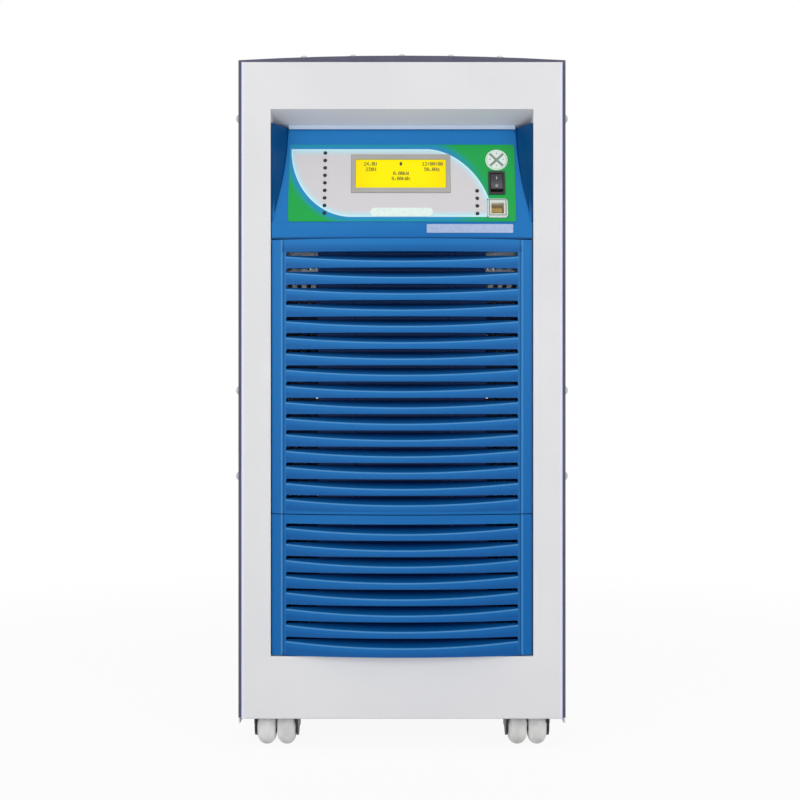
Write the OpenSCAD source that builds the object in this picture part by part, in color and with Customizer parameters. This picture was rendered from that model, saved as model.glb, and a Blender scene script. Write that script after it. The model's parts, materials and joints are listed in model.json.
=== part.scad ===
// Floor-standing solar inverter cabinet on twin-wheel castors.
// +Z is up, the louvred front faces -Y, and the origin is on the floor under the middle.

/* [Cabinet] */
// Width of the steel front frame
cab_w = 312; // [280:1:400]
// Depth from the front frame's face to the rear panel's face
cab_d = 440; // [380:1:540]
// Height of the front frame
cab_h = 638; // [580:1:780]
// Height of the skirt's lower edge above the floor
skirt_z = 32; // [26:1:38]
// Thickness of the steel sheet
sheet = 1.5; // [1:0.1:2]
// How far the body's sides and top stand out past the front frame
body_step = 3.5; // [1:0.5:4]
// Rise of the top cover's crown at its middle
crown = 4.5; // [2:0.5:8]
// Gap left between fixed pieces that lie against each other
seat = 0.2; // [0.1:0.05:0.4]

/* [Front opening] */
// Frame width beside the opening
frame_side = 28.5; // [25:0.5:45]
// Frame height above the opening
frame_top = 46; // [35:1:60]
// Frame height below the opening
frame_bottom = 61; // [45:1:75]
// Height of the lower louvre panel
lower_panel_h = 138; // [110:1:150]
// Height of the upper louvre panel
upper_panel_h = 266; // [200:1:280]
// Visible joint between the fascia pieces
fascia_joint = 0.8; // [0.4:0.1:1.5]
// Gap at each side between the fascia and the frame
fascia_gap = 0.9; // [0.5:0.1:1.5]
// Wall of the moulded fascia
wall = 2.4; // [1.8:0.1:3]

/* [Louvres] */
// Rise of the bowed face in front of its creases
bow = 12; // [6:1:16]
// Width of the plain band outside each crease
side_band = 10.5; // [8:0.5:14]
// Distance from one slot to the next
slot_pitch = 15.7; // [14:0.1:18]
// Height of a slot at its back
slot_h = 3; // [2:0.5:5]
// Slope of a slot's floor
slot_fall = 24; // [15:1:30]
// Plain margin between a crease and a slot's end
slot_margin = 3.5; // [2:0.5:8]

/* [Control bay] */
// Height of the upright strip below the control face
strip_h = 16; // [12:1:20]
// Depth of the control face behind the frame at its top
bay_depth = 30; // [20:1:40]
// Width of the splayed cheek beside the control face
cheek_w = 14.5; // [8:0.5:20]
// Width of the printed overlay
overlay_w = 222; // [180:1:230]
// Height of the printed overlay
overlay_h = 82; // [76:1:88]
// Width of the display bezel
bezel_w = 97; // [80:1:110]
// Height of the display bezel
bezel_h = 41; // [36:1:48]
// Width of the lit display
glass_w = 89; // [70:1:95]
// Height of the lit display
glass_h = 30.4; // [24:0.1:34]
// Diameter of an indicator light
led_d = 3; // [2:0.5:4]
// Distance from one indicator light to the next
led_pitch = 8; // [6:0.5:8]
// Diameter of the keypad
keypad_d = 22; // [18:1:24]
// Travel of a key
key_travel = 0.6; // [0.3:0.1:1]
// Width of the rocker switch's frame
switch_w = 16; // [14:0.5:18]
// Height of the rocker switch's frame
switch_h = 24.5; // [21:0.5:26]
// Swing of the rocker to each side of its middle
rocker_swing = 8; // [5:1:12]
// Size of the square data port's rim
port_size = 20; // [16:0.5:21]

/* [Castors] */
// Radius of a wheel
wheel_r = 20; // [16:0.5:22]
// Radius of a wheel's rounded tread
tread_r = 9; // [7:0.5:10]
// Distance from a castor's swivel axis to its axle
trail = 8; // [5:0.5:10]
// Height from the floor to the underside of the base tray
castor_h = 54; // [50:1:60]
// Radius of the axle
axle_r = 2.5; // [2:0.25:4]
// Radius of the swivel stem
stem_r = 4; // [3:0.25:5]
// Distance of a swivel axis from the side of the front frame
castor_inset_x = 32; // [31:1:60]
// Distance of a swivel axis from the front face and the rear face
castor_inset_y = 42; // [40:1:80]
// Radial clearance of a turning pin
run_fit = 0.05; // [0.02:0.01:0.1]

/* [Inside] */
// Height of the component deck
deck_z = 359; // [300:1:400]
// Width of the transformer's core
core_w = 190; // [150:1:220]
// Height of the transformer's core
core_h = 158; // [130:1:180]
// Thickness of the transformer's lamination stack
core_t = 90; // [60:1:110]
// Width of the heatsink
sink_w = 230; // [180:1:250]
// Height of the heatsink
sink_h = 120; // [90:1:150]

/* [Rear] */
// Outside size of a cooling fan's frame
fan_size = 120; // [92:1:120]
// Thickness of a cooling fan
fan_t = 25.4; // [20:0.2:30]
// Height of the fans' axes
fan_z = 505; // [440:1:540]
// Radius of a cable gland's opening
gland_r = 7; // [5:0.5:9]
// How far a cable gland stands out behind the rear panel
gland_out = 24; // [16:1:30]
// Height of the cable glands
gland_z = 130; // [110:1:150]
// Height of the middle of the circuit breakers
breaker_z = 270; // [230:1:300]
// Swing of a breaker's lever
lever_swing = 70; // [50:5:80]

/* [Hidden] */
$fn = 48;
eps = 0.01;

// Cabinet shell. Depths are measured back from the front frame's face.
frame_x = cab_w / 2;
body_x = frame_x + body_step;
panel_in = body_x - sheet;
top_z = skirt_z + cab_h;
body_top = top_z + body_step - 0.5;
crown_r = (pow(body_x, 2) + pow(crown, 2)) / (2 * crown);
side_low = skirt_z - 6;
return_d = 6;
gasket_d = 9;
crease_d = 1;
front_y = -(cab_d + gland_out - (bow - crease_d)) / 2;
open_x = frame_x - frame_side;
open_low = skirt_z + frame_bottom;
open_top = top_z - frame_top;
edge_r = 2;
flange_d = 24;
ear_d = 32;
ear_low = castor_h + 32;
flange_h = 26;
base_t = 2;
base_top = castor_h + base_t;

// Fascia stack
fascia_x = open_x - fascia_gap;
lower_z0 = open_low + fascia_joint;
upper_z0 = lower_z0 + lower_panel_h + fascia_joint - 1.2;
upper_z1 = upper_z0 + upper_panel_h;
bay_z0 = upper_z1 + fascia_joint;
face_z0 = bay_z0 + strip_h;
face_d0 = 2;
bay_top = open_top - 12.6;
face_tilt = atan((bay_depth - face_d0) / (bay_top - face_z0));
face_len = (bay_top - face_z0) / cos(face_tilt);
crease_x = fascia_x - side_band;
bow_r = (pow(crease_x, 2) + pow(bow, 2)) / (2 * bow);
grille_d = crease_d + wall + 0.6;
panel_depth = 20;
slot_half = crease_x - slot_margin;
rib_t = 1.6;
crease_step = 0.4;
rib_x = 48;
baffle_x = 82;
baffle_d = 8.6;
baffle_t = 1.4;
cheek_d = 0.9;
cheek_x = fascia_x - cheek_w;
cheek_mid_v = face_len * 0.57;
board_post_xs = [-98, -55, 55, 108];
board_post_vs = [6, 86];
upper_first_slot = 12.2;
lower_first_slot = 8.6;
last_slot = 18;

// Places on the control face: across, and up the slope from its lower edge
overlay_v = overlay_h / 2 + 0.8;
display_pos = [-1.2, 51.6];
keypad_pos = [93, 66];
switch_pos = [92.8, 41.5];
port_pos = [93.2, 14.6];
left_leds = [for (i = [0:8]) [-75.6, 9.7 + i * led_pitch]];
right_leds = [for (i = [0:3]) [73.5, 9.2 + i * led_pitch]];
led_pos = concat(left_leds, right_leds);
skin = 0.5;
skin_gap = 0.05;
skin_n = skin + skin_gap;
board_n = -16;
board_t = 1.6;
key_gap = 0.3;
key_r = keypad_d / 2 - 1.2;
rib_w = 1.6;
well_w = switch_w - 3.6;
well_h = switch_h - 4.5;
rocker_pin_r = 1.2;
rocker_n = -1.5;
rocker_half = well_h / 2 - 1.2;
rocker_horn = 5.9 + well_h / 2 * tan(rocker_swing) * 0.8;

// Castors
castor_x = frame_x - castor_inset_x;
castor_ys = [castor_inset_y, cab_d - castor_inset_y];
wheel_gap = 1.6;
wheel_mid = wheel_gap / 2 + tread_r;
cavity_x = wheel_gap / 2 + 2 * tread_r + 0.7;
cheek_t = 2;
hood_x = cavity_x + cheek_t;
hood_r = wheel_r + 3.5;
cheek_r = 11.5;
plate_t = 2.4;
plate_half = 20;
plate_z = castor_h - 0.1 - plate_t;
hood_top = plate_z - 0.4;
swing_r = norm([wheel_mid, wheel_r - tread_r + trail]) + tread_r + 0.4;
castor_screw = 15;

// Fasteners
head_r = 3.2;
head_h = 3.6;
shank_r = 2;
hole_r = 2.3;
screw_len = 7;
top_screw_len = 13;
side_screws = [for (z = [open_top - 6, deck_z - 8, deck_z - 92]) [18, z],
    for (z = [open_top - 6, deck_z - 92]) [cab_d - 10, z],
    for (y = [cab_d * 0.3, cab_d * 0.75], z = [deck_z - 8, castor_h + 18]) [y, z]];
top_screws = [for (x = [-2:2]) [x * (frame_x - 60) / 2, 16], for (x = [-1:1]) [x * (frame_x - 60), cab_d - 12]];
rear_screws = [for (x = [-1, 1], z = [castor_h + 12, top_z - 14]) [x * (frame_x - 30), z],
    for (x = [-1, 0, 1]) [x * (frame_x - 30), (fan_z + breaker_z) / 2]];

// Inside and rear
core_y = cab_d * 0.5;
leg_w = core_w / 3.4;
winding_wall = (core_w - leg_w) / 4 - 3;
core_z = base_top + 10;
sink_y = cab_d * 0.55;
fan_x = fan_size / 2 + 8;
fan_bore = fan_size / 2 - 2.5;
rotor_r = fan_bore - 1.2;
hub_r = fan_size / 6;
fan_pin_r = 2;
guard_wire = 1;
fan_hole = fan_size * 0.4375;
breaker_xs = [-72, -36, 0];
pole_w = 17.6;
nose_h = 45;
nose_out = 5;
breaker_h = 84;
breaker_back = 62;
drum_r = 6;
drum_w = 7;
lever_pin_r = 1.5;
gland_xs = [-90, -40, 10];
gland_hex = gland_r + 6;
stud_r = 3;
stud_out = 16;
stud_pos = [90, gland_z];
cut_x = [breaker_xs[0] - pole_w / 2 - 1, breaker_xs[2] + pole_w / 2 + 1];

steel_white = [0.86, 0.86, 0.86];
bright_steel = [0.72, 0.73, 0.75];
fascia_blue = [0.10, 0.40, 0.68];
black = [0.07, 0.07, 0.08];
board_green = [0.05, 0.32, 0.18];
copper = [0.72, 0.42, 0.22];

// ---- Shared helpers ----
module in_cabinet() translate([0, front_y, 0]) children();
module block(lo, hi) translate(lo) cube(hi - lo);
module both_sides() for (s = [0, 1]) mirror([s, 0, 0]) children();
// An outline drawn across and up, from depth y0 to depth y1
module slab(y0, y1) translate([0, y1, 0]) rotate([90, 0, 0]) linear_extrude(y1 - y0) children();
// An outline drawn in depth and up, run from x0 to x1
module run(x0, x1) translate([x0, 0, 0]) rotate([90, 0, 90]) linear_extrude(x1 - x0) children();
module round_rect(w, h, r) {
    square([w - 2 * r, h], center = true);
    square([w, h - 2 * r], center = true);
    for (i = [-1, 1], j = [-1, 1]) translate([i * (w / 2 - r), j * (h / 2 - r)]) circle(r);
}
// Local frame of the control face: x across, y up the slope, z out of the face
module on_face() translate([0, front_y + face_d0, face_z0]) rotate([90 - face_tilt, 0, 0]) children();
module at(p) translate([p[0], p[1], 0]) children();
// Rod along X, Y or Z between two stations
module rod_x(r, x0, x1) translate([x0, 0, 0]) rotate([0, 90, 0]) cylinder(r = r, h = x1 - x0);
module rod_y(r, y0, y1) translate([0, y0, 0]) rotate([-90, 0, 0]) cylinder(r = r, h = y1 - y0);
module under_crown(r) intersection() {
    translate([0, body_top + crown - crown_r]) circle(r, $fn = 360);
    translate([-body_x, body_top - 60]) square([2 * body_x, 80]);
}
// Pan-head screw, its seat at z = 0 and its shank going down
module screw(len) {
    translate([0, 0, -len]) cylinder(r = shank_r, h = len + 0.5);
    intersection() {
        cylinder(r = head_r, h = head_h);
        translate([0, 0, head_h - 5]) sphere(r = 5);
    }
}
function crown_z(x) = body_top + crown - crown_r + sqrt(pow(crown_r, 2) - pow(x, 2));

// ---- Steel shell ----
module front_frame() color(steel_white) in_cabinet() difference() {
    union() {
        slab(0, sheet) difference() {
            translate([-frame_x, skirt_z]) square([cab_w, cab_h]);
            translate([-open_x, open_low]) square([2 * open_x, open_top - open_low]);
        }
        slab(0, return_d) difference() {
            translate([-frame_x, skirt_z]) square([cab_w, cab_h]);
            translate([-frame_x + sheet, skirt_z + sheet]) square([cab_w - 2 * sheet, cab_h - 2 * sheet]);
        }
        both_sides() {
            block([open_x, 0, open_low - sheet], [open_x + sheet, flange_d, open_top]);
            block([frame_x - 2 * sheet, 0, ear_low], [frame_x - sheet + eps, ear_d, top_z - 2 * sheet]);
        }
        block([-open_x - sheet, 0, open_low - sheet], [open_x + sheet, flange_d, open_low]);
        block([-frame_x + 14, 0, top_z - 3 * sheet], [frame_x - 14, ear_d, top_z - 2 * sheet]);
        block([-frame_x + 14, 0, top_z - 3 * sheet], [frame_x - 14, sheet, top_z]);
        run(-open_x - sheet, open_x + sheet) polygon([[0, open_top], [sheet, open_top],
            [bay_depth + 2, bay_top + 0.6], [bay_depth + 2, bay_top + 0.6 + sheet], [0, open_top + sheet]]);
        block([-cheek_x, bay_depth - 2.8, bay_top - 1.6], [cheek_x, bay_depth - 1.5, bay_top + 3]);
    }
    for (s = [0, 1]) mirror([s, 0, 0]) translate([frame_x, 0, 0]) edge_round(skirt_z - 1, top_z + 1);
    translate([0, 0, top_z]) rotate([0, 90, 0]) mirror([1, 0, 0]) edge_round(-body_x, body_x);
    translate([0, 0, skirt_z]) rotate([0, 90, 0]) edge_round(-body_x, body_x);
    both_sides() for (p = side_screws) translate([0, p[0], p[1]]) rod_x(hole_r, frame_x - 5, body_x + 1);
    for (p = top_screws) translate([p[0], p[1], top_z - 8]) cylinder(r = hole_r, h = 9);
}
// Cutter that rounds a sharp front edge lying on the Z axis, with the sheet on its -X side
module edge_round(z0, z1) translate([0, 0, z0]) linear_extrude(z1 - z0) difference() {
    translate([-edge_r, -1]) square([edge_r + 1, edge_r + 1]);
    translate([-edge_r, edge_r]) circle(edge_r);
}
module front_gasket() color(black) in_cabinet() slab(return_d + seat, gasket_d - seat) difference() {
    union() {
        under_crown(crown_r);
        translate([-body_x, skirt_z]) square([2 * body_x, cab_h - 20]);
    }
    translate([-frame_x + 0.6, 0]) square([cab_w - 1.2, top_z - 1]);
    translate([-frame_x, -eps]) square([cab_w, skirt_z]);
}
module side_panel() color(steel_white) in_cabinet() difference() {
    union() {
        block([panel_in, gasket_d, side_low], [body_x, cab_d, body_top - sheet - seat]);
        block([panel_in - 14, gasket_d + 2, body_top - 2 * sheet - seat],
            [body_x, cab_d - 4, body_top - sheet - seat]);
    }
    for (p = side_screws) translate([0, p[0], p[1]]) rod_x(hole_r, panel_in - 1, body_x + 1);
}
module right_side_panel() side_panel();
module left_side_panel() mirror([1, 0, 0]) side_panel();
module top_cover() color(steel_white) in_cabinet() difference() {
    union() {
        slab(gasket_d, cab_d) difference() {
            under_crown(crown_r);
            translate([0, body_top + crown - crown_r]) circle(crown_r - sheet, $fn = 360);
        }
        slab(cab_d - sheet, cab_d) intersection() {
            under_crown(crown_r - 0.1);
            translate([-panel_in + 15, body_top - sheet]) square([2 * panel_in - 30, 20]);
        }
        slab(gasket_d, gasket_d + sheet) intersection() {
            under_crown(crown_r - 0.1);
            translate([-panel_in + 15, top_z - 2]) square([2 * panel_in - 30, 20]);
        }
    }
    for (p = top_screws) translate([p[0], p[1], top_z - 8]) cylinder(r = hole_r, h = 30);
}
module rear_panel() color(steel_white) in_cabinet() difference() {
    union() {
        block([-panel_in + seat, cab_d - sheet, skirt_z], [panel_in - seat, cab_d, body_top - sheet - seat - 0.1]);
        both_sides() block([panel_in - seat - sheet, cab_d - 18, ear_low],
            [panel_in - seat, cab_d, body_top - 20]);
        block([-panel_in + 16, cab_d - 20, top_z - 3 * sheet], [panel_in - 16, cab_d, top_z - 2 * sheet]);
    }
    both_sides() translate([fan_x, 0, fan_z]) {
        rod_y(fan_hole, cab_d - 5, cab_d + 1);
        for (i = [-1, 1], j = [-1, 1]) translate([i * fan_hole, 0, j * fan_hole]) rod_y(hole_r, cab_d - 5, cab_d + 1);
    }
    slab(cab_d - 3, cab_d + 1) {
        for (r = [0:6], s = [-1, 1]) translate([s * fan_x, breaker_z + 62 + r * 11]) round_rect(100, 5, 2.4);
        translate([cut_x[0], breaker_z - nose_h / 2 - 0.5]) square([cut_x[1] - cut_x[0], nose_h + 1]);
        for (x = gland_xs) translate([x, gland_z]) circle(gland_r + 3.2);
        translate(stud_pos) circle(stud_r + 0.3);
        for (p = rear_screws) translate(p) circle(hole_r);
    }
    both_sides() for (p = side_screws) translate([0, p[0], p[1]]) rod_x(hole_r, frame_x - 5, body_x + 1);
    for (p = top_screws) translate([p[0], p[1], top_z - 8]) cylinder(r = hole_r, h = 9);
}
module base_tray() color(bright_steel) in_cabinet() difference() {
    union() {
        block([-panel_in + seat, gasket_d + 1, castor_h], [panel_in - seat, cab_d - sheet - seat, base_top]);
        both_sides() block([panel_in - seat - base_t, gasket_d + 1, castor_h],
            [panel_in - seat, cab_d - sheet - seat, castor_h + flange_h]);
        block([-panel_in + seat, gasket_d + 1, castor_h], [panel_in - seat, gasket_d + 3, castor_h + flange_h]);
        block([-panel_in + seat, cab_d - sheet - seat - base_t, castor_h],
            [panel_in - seat, cab_d - sheet - seat, castor_h + flange_h]);
    }
    at_castors() {
        translate([0, 0, castor_h - 1]) cylinder(r = 7.5, h = 5);
        castor_screw_places() translate([0, 0, castor_h - 1]) cylinder(r = hole_r, h = 5);
    }
    both_sides() for (p = side_screws) translate([0, p[0], p[1]]) rod_x(hole_r, frame_x - 5, body_x + 1);
    for (p = rear_screws) translate([p[0], 0, p[1]]) rod_y(hole_r, cab_d - 8, cab_d);
    for (x = [-60, 0, 60], y = [0.4, 0.6]) translate([x, cab_d * y, castor_h - 1]) linear_extrude(5) round_rect(40, 6, 2.9);
}
module component_deck() color(bright_steel) in_cabinet() difference() {
    union() {
        block([-panel_in + seat, 60, deck_z - sheet], [panel_in - seat, cab_d - 30, deck_z]);
        both_sides() block([panel_in - seat - sheet, 60, deck_z - 18], [panel_in - seat, cab_d - 30, deck_z]);
    }
    both_sides() for (p = side_screws) translate([0, p[0], p[1]]) rod_x(hole_r, frame_x - 5, body_x + 1);
    translate([0, 95, deck_z - 3]) linear_extrude(5) for (x = [-1:1]) translate([x * 70, 0]) round_rect(50, 30, 6);
}
module vent_screen() color(bright_steel) in_cabinet() slab(flange_d + seat, flange_d + seat + sheet) difference() {
    translate([-open_x - 6, open_low - 6]) square([2 * open_x + 12, upper_z1 - open_low + 4]);
    for (i = [-3:3], j = [0:floor((upper_z1 - open_low - 30) / 20)])
        translate([i * 34, open_low + 16 + j * 20]) square([26, 12], center = true);
}
module cabinet_screws() color(bright_steel) {
    in_cabinet() {
        both_sides() for (p = side_screws) translate([body_x + 0.05, p[0], p[1]]) rotate([0, 90, 0]) screw(screw_len);
        for (p = top_screws) translate([p[0], p[1], crown_z(abs(p[0]) - head_r) + 0.05]) screw(top_screw_len);
        for (p = rear_screws) translate([p[0], cab_d + 0.05, p[1]]) rotate([-90, 0, 0]) screw(screw_len);
        at_castors() castor_screw_places() translate([0, 0, plate_z - 0.05]) mirror([0, 0, 1]) plate_screw();
    }
}
// Low-head screw that holds a castor plate up against the tray
module plate_screw() {
    translate([0, 0, -plate_t - base_t - 2]) cylinder(r = shank_r, h = plate_t + base_t + 2.5);
    cylinder(r = head_r, h = 1.6);
}

// ---- Moulded fascia ----
// Depth of a side band at its crease, a small step behind the bowed face cut back by inset
function crease_end(inset) = bow_r - bow + crease_d + crease_step - sqrt(pow(bow_r - inset, 2) - pow(crease_x, 2));
// Plan view of a louvre panel's solid: splayed bands and a bowed middle, cut back by inset
module bowed_plan(inset, back) {
    intersection() {
        translate([0, bow_r - bow + crease_d]) circle(bow_r - inset, $fn = 360);
        translate([-crease_x, crease_d - bow - 1]) square([2 * crease_x, bow + back + 1 - crease_d]);
    }
    polygon([[-fascia_x + inset, crease_d + 2 + inset], [-crease_x, crease_end(inset)],
        [crease_x, crease_end(inset)], [fascia_x - inset, crease_d + 2 + inset],
        [fascia_x - inset, back], [-fascia_x + inset, back]]);
}
module louvre_panel(z0, z1, first) color(fascia_blue) in_cabinet() {
    rows = floor((z1 - z0 - first - last_slot) / slot_pitch + 0.5);
    difference() {
        union() {
            difference() {
                translate([0, 0, z0]) linear_extrude(z1 - z0) bowed_plan(0, panel_depth);
                translate([0, 0, z0 + wall]) linear_extrude(z1 - z0 - 2 * wall) bowed_plan(wall, panel_depth + 1);
            }
            both_sides() for (z = [z0 + 20, z1 - 26])
                block([fascia_x - 1, 12, z], [open_x - 0.3, 18, z + 6]);
            intersection() {
                translate([0, 0, z0 + 1]) linear_extrude(z1 - z0 - 2) bowed_plan(wall / 2, grille_d);
                for (i = [0:rows]) translate([0, 0, z1 - first - i * slot_pitch]) slot_sleeve();
            }
            both_sides() block([rib_x, crease_end(wall) - bow * 0.65, z0 + 1], [rib_x + rib_t, baffle_d + baffle_t / 2, z1 - 1]);
            for (i = [0:rows]) translate([0, 0, z1 - first - i * slot_pitch])
                block([-baffle_x, baffle_d, -slot_h - 3], [baffle_x, baffle_d + baffle_t, 2]);
        }
        for (i = [0:rows]) translate([0, 0, z1 - first - i * slot_pitch]) slot_cut();
    }
}
// Depth and height of a slot's section: level roof, floor falling towards the front
function slot_section(grow) = [[-bow - 2, grow], [grille_d + 1, grow], [grille_d + 1, -slot_h - grow],
    [grille_d, -slot_h - grow], [-bow - 2, -slot_h - grow - (grille_d + bow + 2) * tan(slot_fall)]];
// One air slot with rounded ends
module slot_cut() intersection() {
    run(-slot_half - 3, slot_half + 3) polygon(slot_section(0));
    slab(-bow - 1.5, grille_d + 0.7) translate([0, -15]) round_rect(2 * slot_half, 30.4, 2);
}
// The walls that line one air slot
module slot_sleeve() run(-slot_half - rib_t, slot_half + rib_t) polygon(slot_section(rib_t));
module upper_louvre_panel() louvre_panel(upper_z0, upper_z1, upper_first_slot);
module lower_louvre_panel() louvre_panel(lower_z0, upper_z0 - fascia_joint, lower_first_slot);

module control_fascia() color(fascia_blue) {
    on_face() difference() {
        union() {
            translate([0, 0, -wall]) linear_extrude(wall) polygon([[-fascia_x + 0.4, 0], [fascia_x - 0.4, 0],
                [fascia_x - cheek_w * 0.6, cheek_mid_v], [cheek_x + 2, face_len], [-cheek_x - 2, face_len],
                [cheek_w * 0.6 - fascia_x, cheek_mid_v]]);
            board_posts() translate([0, 0, board_n + board_t + seat]) cylinder(r = 3.5, h = -wall - board_n - board_t - seat + 0.5);
        }
        translate([0, 0, -wall - 1]) linear_extrude(wall + 2) face_openings(0.3);
    }
    in_cabinet() {
        block([-fascia_x, crease_d + 0.5, bay_z0], [fascia_x, crease_d + 0.5 + wall, face_z0]);
        block([-fascia_x, crease_d + 0.5, bay_z0], [fascia_x, panel_depth, bay_z0 + wall]);
        block([-fascia_x + cheek_w - 1, bay_depth, bay_top - wall], [fascia_x - cheek_w + 1, bay_depth + 14, bay_top]);
        both_sides() {
            run(fascia_x - wall, fascia_x) polygon([[crease_d + 1.1, bay_z0 + 0.3], [panel_depth, bay_z0 + 0.3],
                [bay_depth + 14, bay_top - 0.3], [wall * 2.8, bay_top - 0.3], [face_d0 + 0.9, face_z0]]);
            cheek();
            for (z = [bay_z0 + 12, bay_top - 40]) block([fascia_x - 1, 14, z], [open_x - 0.3, 19, z + 6]);
        }
    }
}
// Splayed cheek from the side wall in to the control face
module cheek() intersection() {
    translate([0, 0, face_z0 + 0.5]) linear_extrude(bay_top - face_z0 - 1.2) polygon([[fascia_x - 0.4, cheek_d],
        [fascia_x - 0.4, bay_depth + 1], [cheek_x, bay_depth + 1]]);
    translate([0, -front_y, 0]) on_face() translate([0, -5, 0.3 - wall]) cube([fascia_x, face_len + 10, 60]);
}
module board_posts() for (x = board_post_xs, v = board_post_vs) at([x, v]) children();
module face_openings(c) {
    at(display_pos) square([bezel_w - 2 + 2 * c, bezel_h - 2 + 2 * c], center = true);
    at(keypad_pos) circle(keypad_d / 2 - 0.8 + c);
    at(switch_pos) square([switch_w - 1.6 + 2 * c, switch_h - 1.6 + 2 * c], center = true);
    at(port_pos) square([port_size - 3 + 2 * c, port_size - 3 + 2 * c], center = true);
    for (p = led_pos) at(p) circle(led_d / 2 + 0.1);
}

// ---- Control face ----
module control_overlay() color([0.25, 0.7, 0.45]) on_face() translate([0, 0, skin_gap]) linear_extrude(skin) difference() {
    translate([0, overlay_v]) round_rect(overlay_w, overlay_h, 3);
    at(display_pos) square([bezel_w + 0.4, bezel_h + 0.4], center = true);
    at(keypad_pos) circle(keypad_d / 2 + 0.2);
    at(switch_pos) square([switch_w + 0.4, switch_h + 0.4], center = true);
    at(port_pos) square([port_size + 0.4, port_size + 0.4], center = true);
    for (p = led_pos) at(p) circle(led_d / 2 + 0.1);
}
module display_bezel() color([0.6, 0.6, 0.6]) on_face() at(display_pos) difference() {
    union() {
        translate([0, 0, skin_gap]) linear_extrude(1.2) square([bezel_w, bezel_h], center = true);
        translate([0, 0, -9]) linear_extrude(9.5) square([bezel_w - 2, bezel_h - 2], center = true);
    }
    translate([0, 0, -1.2]) linear_extrude(3) square([glass_w, glass_h], center = true);
    translate([0, 0, -7.8]) linear_extrude(7) square([glass_w + 4, glass_h + 6], center = true);
    translate([0, 0, -9.5]) linear_extrude(2) square([glass_w - 4, glass_h - 4], center = true);
}
module display_panel() color([0.95, 0.88, 0.1]) on_face() at(display_pos) {
    translate([0, 0, -1.2]) linear_extrude(1.6) square([glass_w - 0.4, glass_h - 0.4], center = true);
    translate([0, 0, -7.6]) linear_extrude(6.6) square([glass_w + 3.6, glass_h + 5.6], center = true);
}
module indicator_lights() color([0.75, 0.1, 0.1]) on_face() for (p = led_pos) at(p) {
    translate([0, 0, board_n + board_t + 0.05]) cylinder(d = led_d, h = -board_n - board_t + skin_n);
    translate([0, 0, skin_n]) intersection() {
        sphere(d = led_d);
        cylinder(d = led_d + 1, h = led_d);
    }
    translate([0, 0, board_n + board_t + 0.05]) cylinder(d = led_d + 1, h = 2);
}
module keypad_ring() color("white") on_face() at(keypad_pos) difference() {
    union() {
        translate([0, 0, skin_gap]) cylinder(d = keypad_d, h = 1.3);
        translate([0, 0, -6]) cylinder(d = keypad_d - 1.6, h = 6.5);
    }
    for (a = [0:90:270]) rotate(a) translate([0, 0, -4.5]) linear_extrude(8) key_outline(0);
    for (a = [0:90:270]) rotate(a) translate([0, key_r * 0.6, -7]) cylinder(r = 1.8, h = 4);
}
// Quarter of a disc between the ribs of the cross, pointing up the slope
module key_outline(gap) intersection() {
    circle(key_r - gap);
    translate([0, rib_w * 0.7 + gap * 1.5]) polygon([[0, 0], [key_r, key_r], [0, 3 * key_r], [-key_r, key_r]]);
}
module key(turn) color("white") on_face() at(keypad_pos) rotate(turn) {
    translate([0, 0, -4.5 + key_travel + 0.3]) linear_extrude(4.5 - key_travel + 1.1) key_outline(key_gap);
    translate([0, key_r * 0.6, board_n + board_t + 1.5 + key_travel]) cylinder(r = 1.5, h = -board_n - board_t - 2.5);
}
module key_up() key(0);
module key_left() key(90);
module key_down() key(180);
module key_right() key(270);

module switch_housing() color(black) on_face() at(switch_pos) difference() {
    union() {
        translate([0, 0, skin_gap]) linear_extrude(1.6) round_rect(switch_w, switch_h, 1);
        translate([0, 0, -13]) linear_extrude(13.5) square([switch_w - 1.6, switch_h - 1.6], center = true);
    }
    translate([0, 0, -9]) linear_extrude(12) square([well_w, well_h], center = true);
    translate([0, 0, rocker_n - 3]) rod_x(rocker_pin_r + run_fit, -well_w / 2 - 1.2, well_w / 2 + 1.2);
}
// Drawn in its off position, which leaves the lower half standing out
module power_rocker() color([0.12, 0.12, 0.13]) on_face() at(switch_pos) translate([0, 0, rocker_n - 3])
    rotate([-rocker_swing, 0, 0]) {
        rod_x(rocker_pin_r, -well_w / 2 - 1, well_w / 2 + 1);
        run(-well_w / 2 + 0.4, well_w / 2 - 0.4) difference() {
            union() {
                polygon([[-rocker_half, -1.5], [rocker_half, -1.5], [rocker_half - 0.4, rocker_horn],
                    [0, 5.2], [0.4 - rocker_half, rocker_horn]]);
                circle(3.2);
            }
        }
    }
port_rim_n = 1.6;
port_hole_w = port_size - 8;
port_hole_h = port_size - 9;
port_deep = 10;
module data_port() color([0.9, 0.9, 0.9]) on_face() at(port_pos) difference() {
    union() {
        translate([0, 0, skin_gap]) linear_extrude(port_rim_n) round_rect(port_size, port_size, 3);
        translate([0, 0, -port_deep - 1.5]) linear_extrude(port_deep + 2) square([port_size - 3.2, port_size - 3.2], center = true);
    }
    translate([0, 0, -port_deep]) linear_extrude(port_deep + 3) square([port_hole_w, port_hole_h], center = true);
}
module blank_plates() color([0.80, 0.86, 0.88]) {
    on_face() translate([0, 5.6 + overlay_v - overlay_h / 2, skin_n + 0.05]) linear_extrude(0.4) round_rect(61, 9, 4.4);
    in_cabinet() slab(crease_d + 0.1, crease_d + 0.45) translate([66, (bay_z0 + face_z0) / 2 + 1]) round_rect(84, 11, 1);
}
module control_board() color(board_green) on_face() {
    difference() {
        translate([-104, 1, board_n]) cube([218, 90, board_t]);
        board_posts() translate([0, 0, board_n - 1]) cylinder(r = 1.2, h = 4);
    }
    for (p = [[-60, 20], [-20, 24], [40, 22]]) translate([p[0], p[1], board_n - 8]) cube([26, 16, 8.5]);
    for (a = [0:90:270]) at(keypad_pos) rotate(a) translate([0, key_r * 0.6, board_n + board_t - 0.5]) cylinder(r = 1.5, h = 1.7);
}

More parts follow.
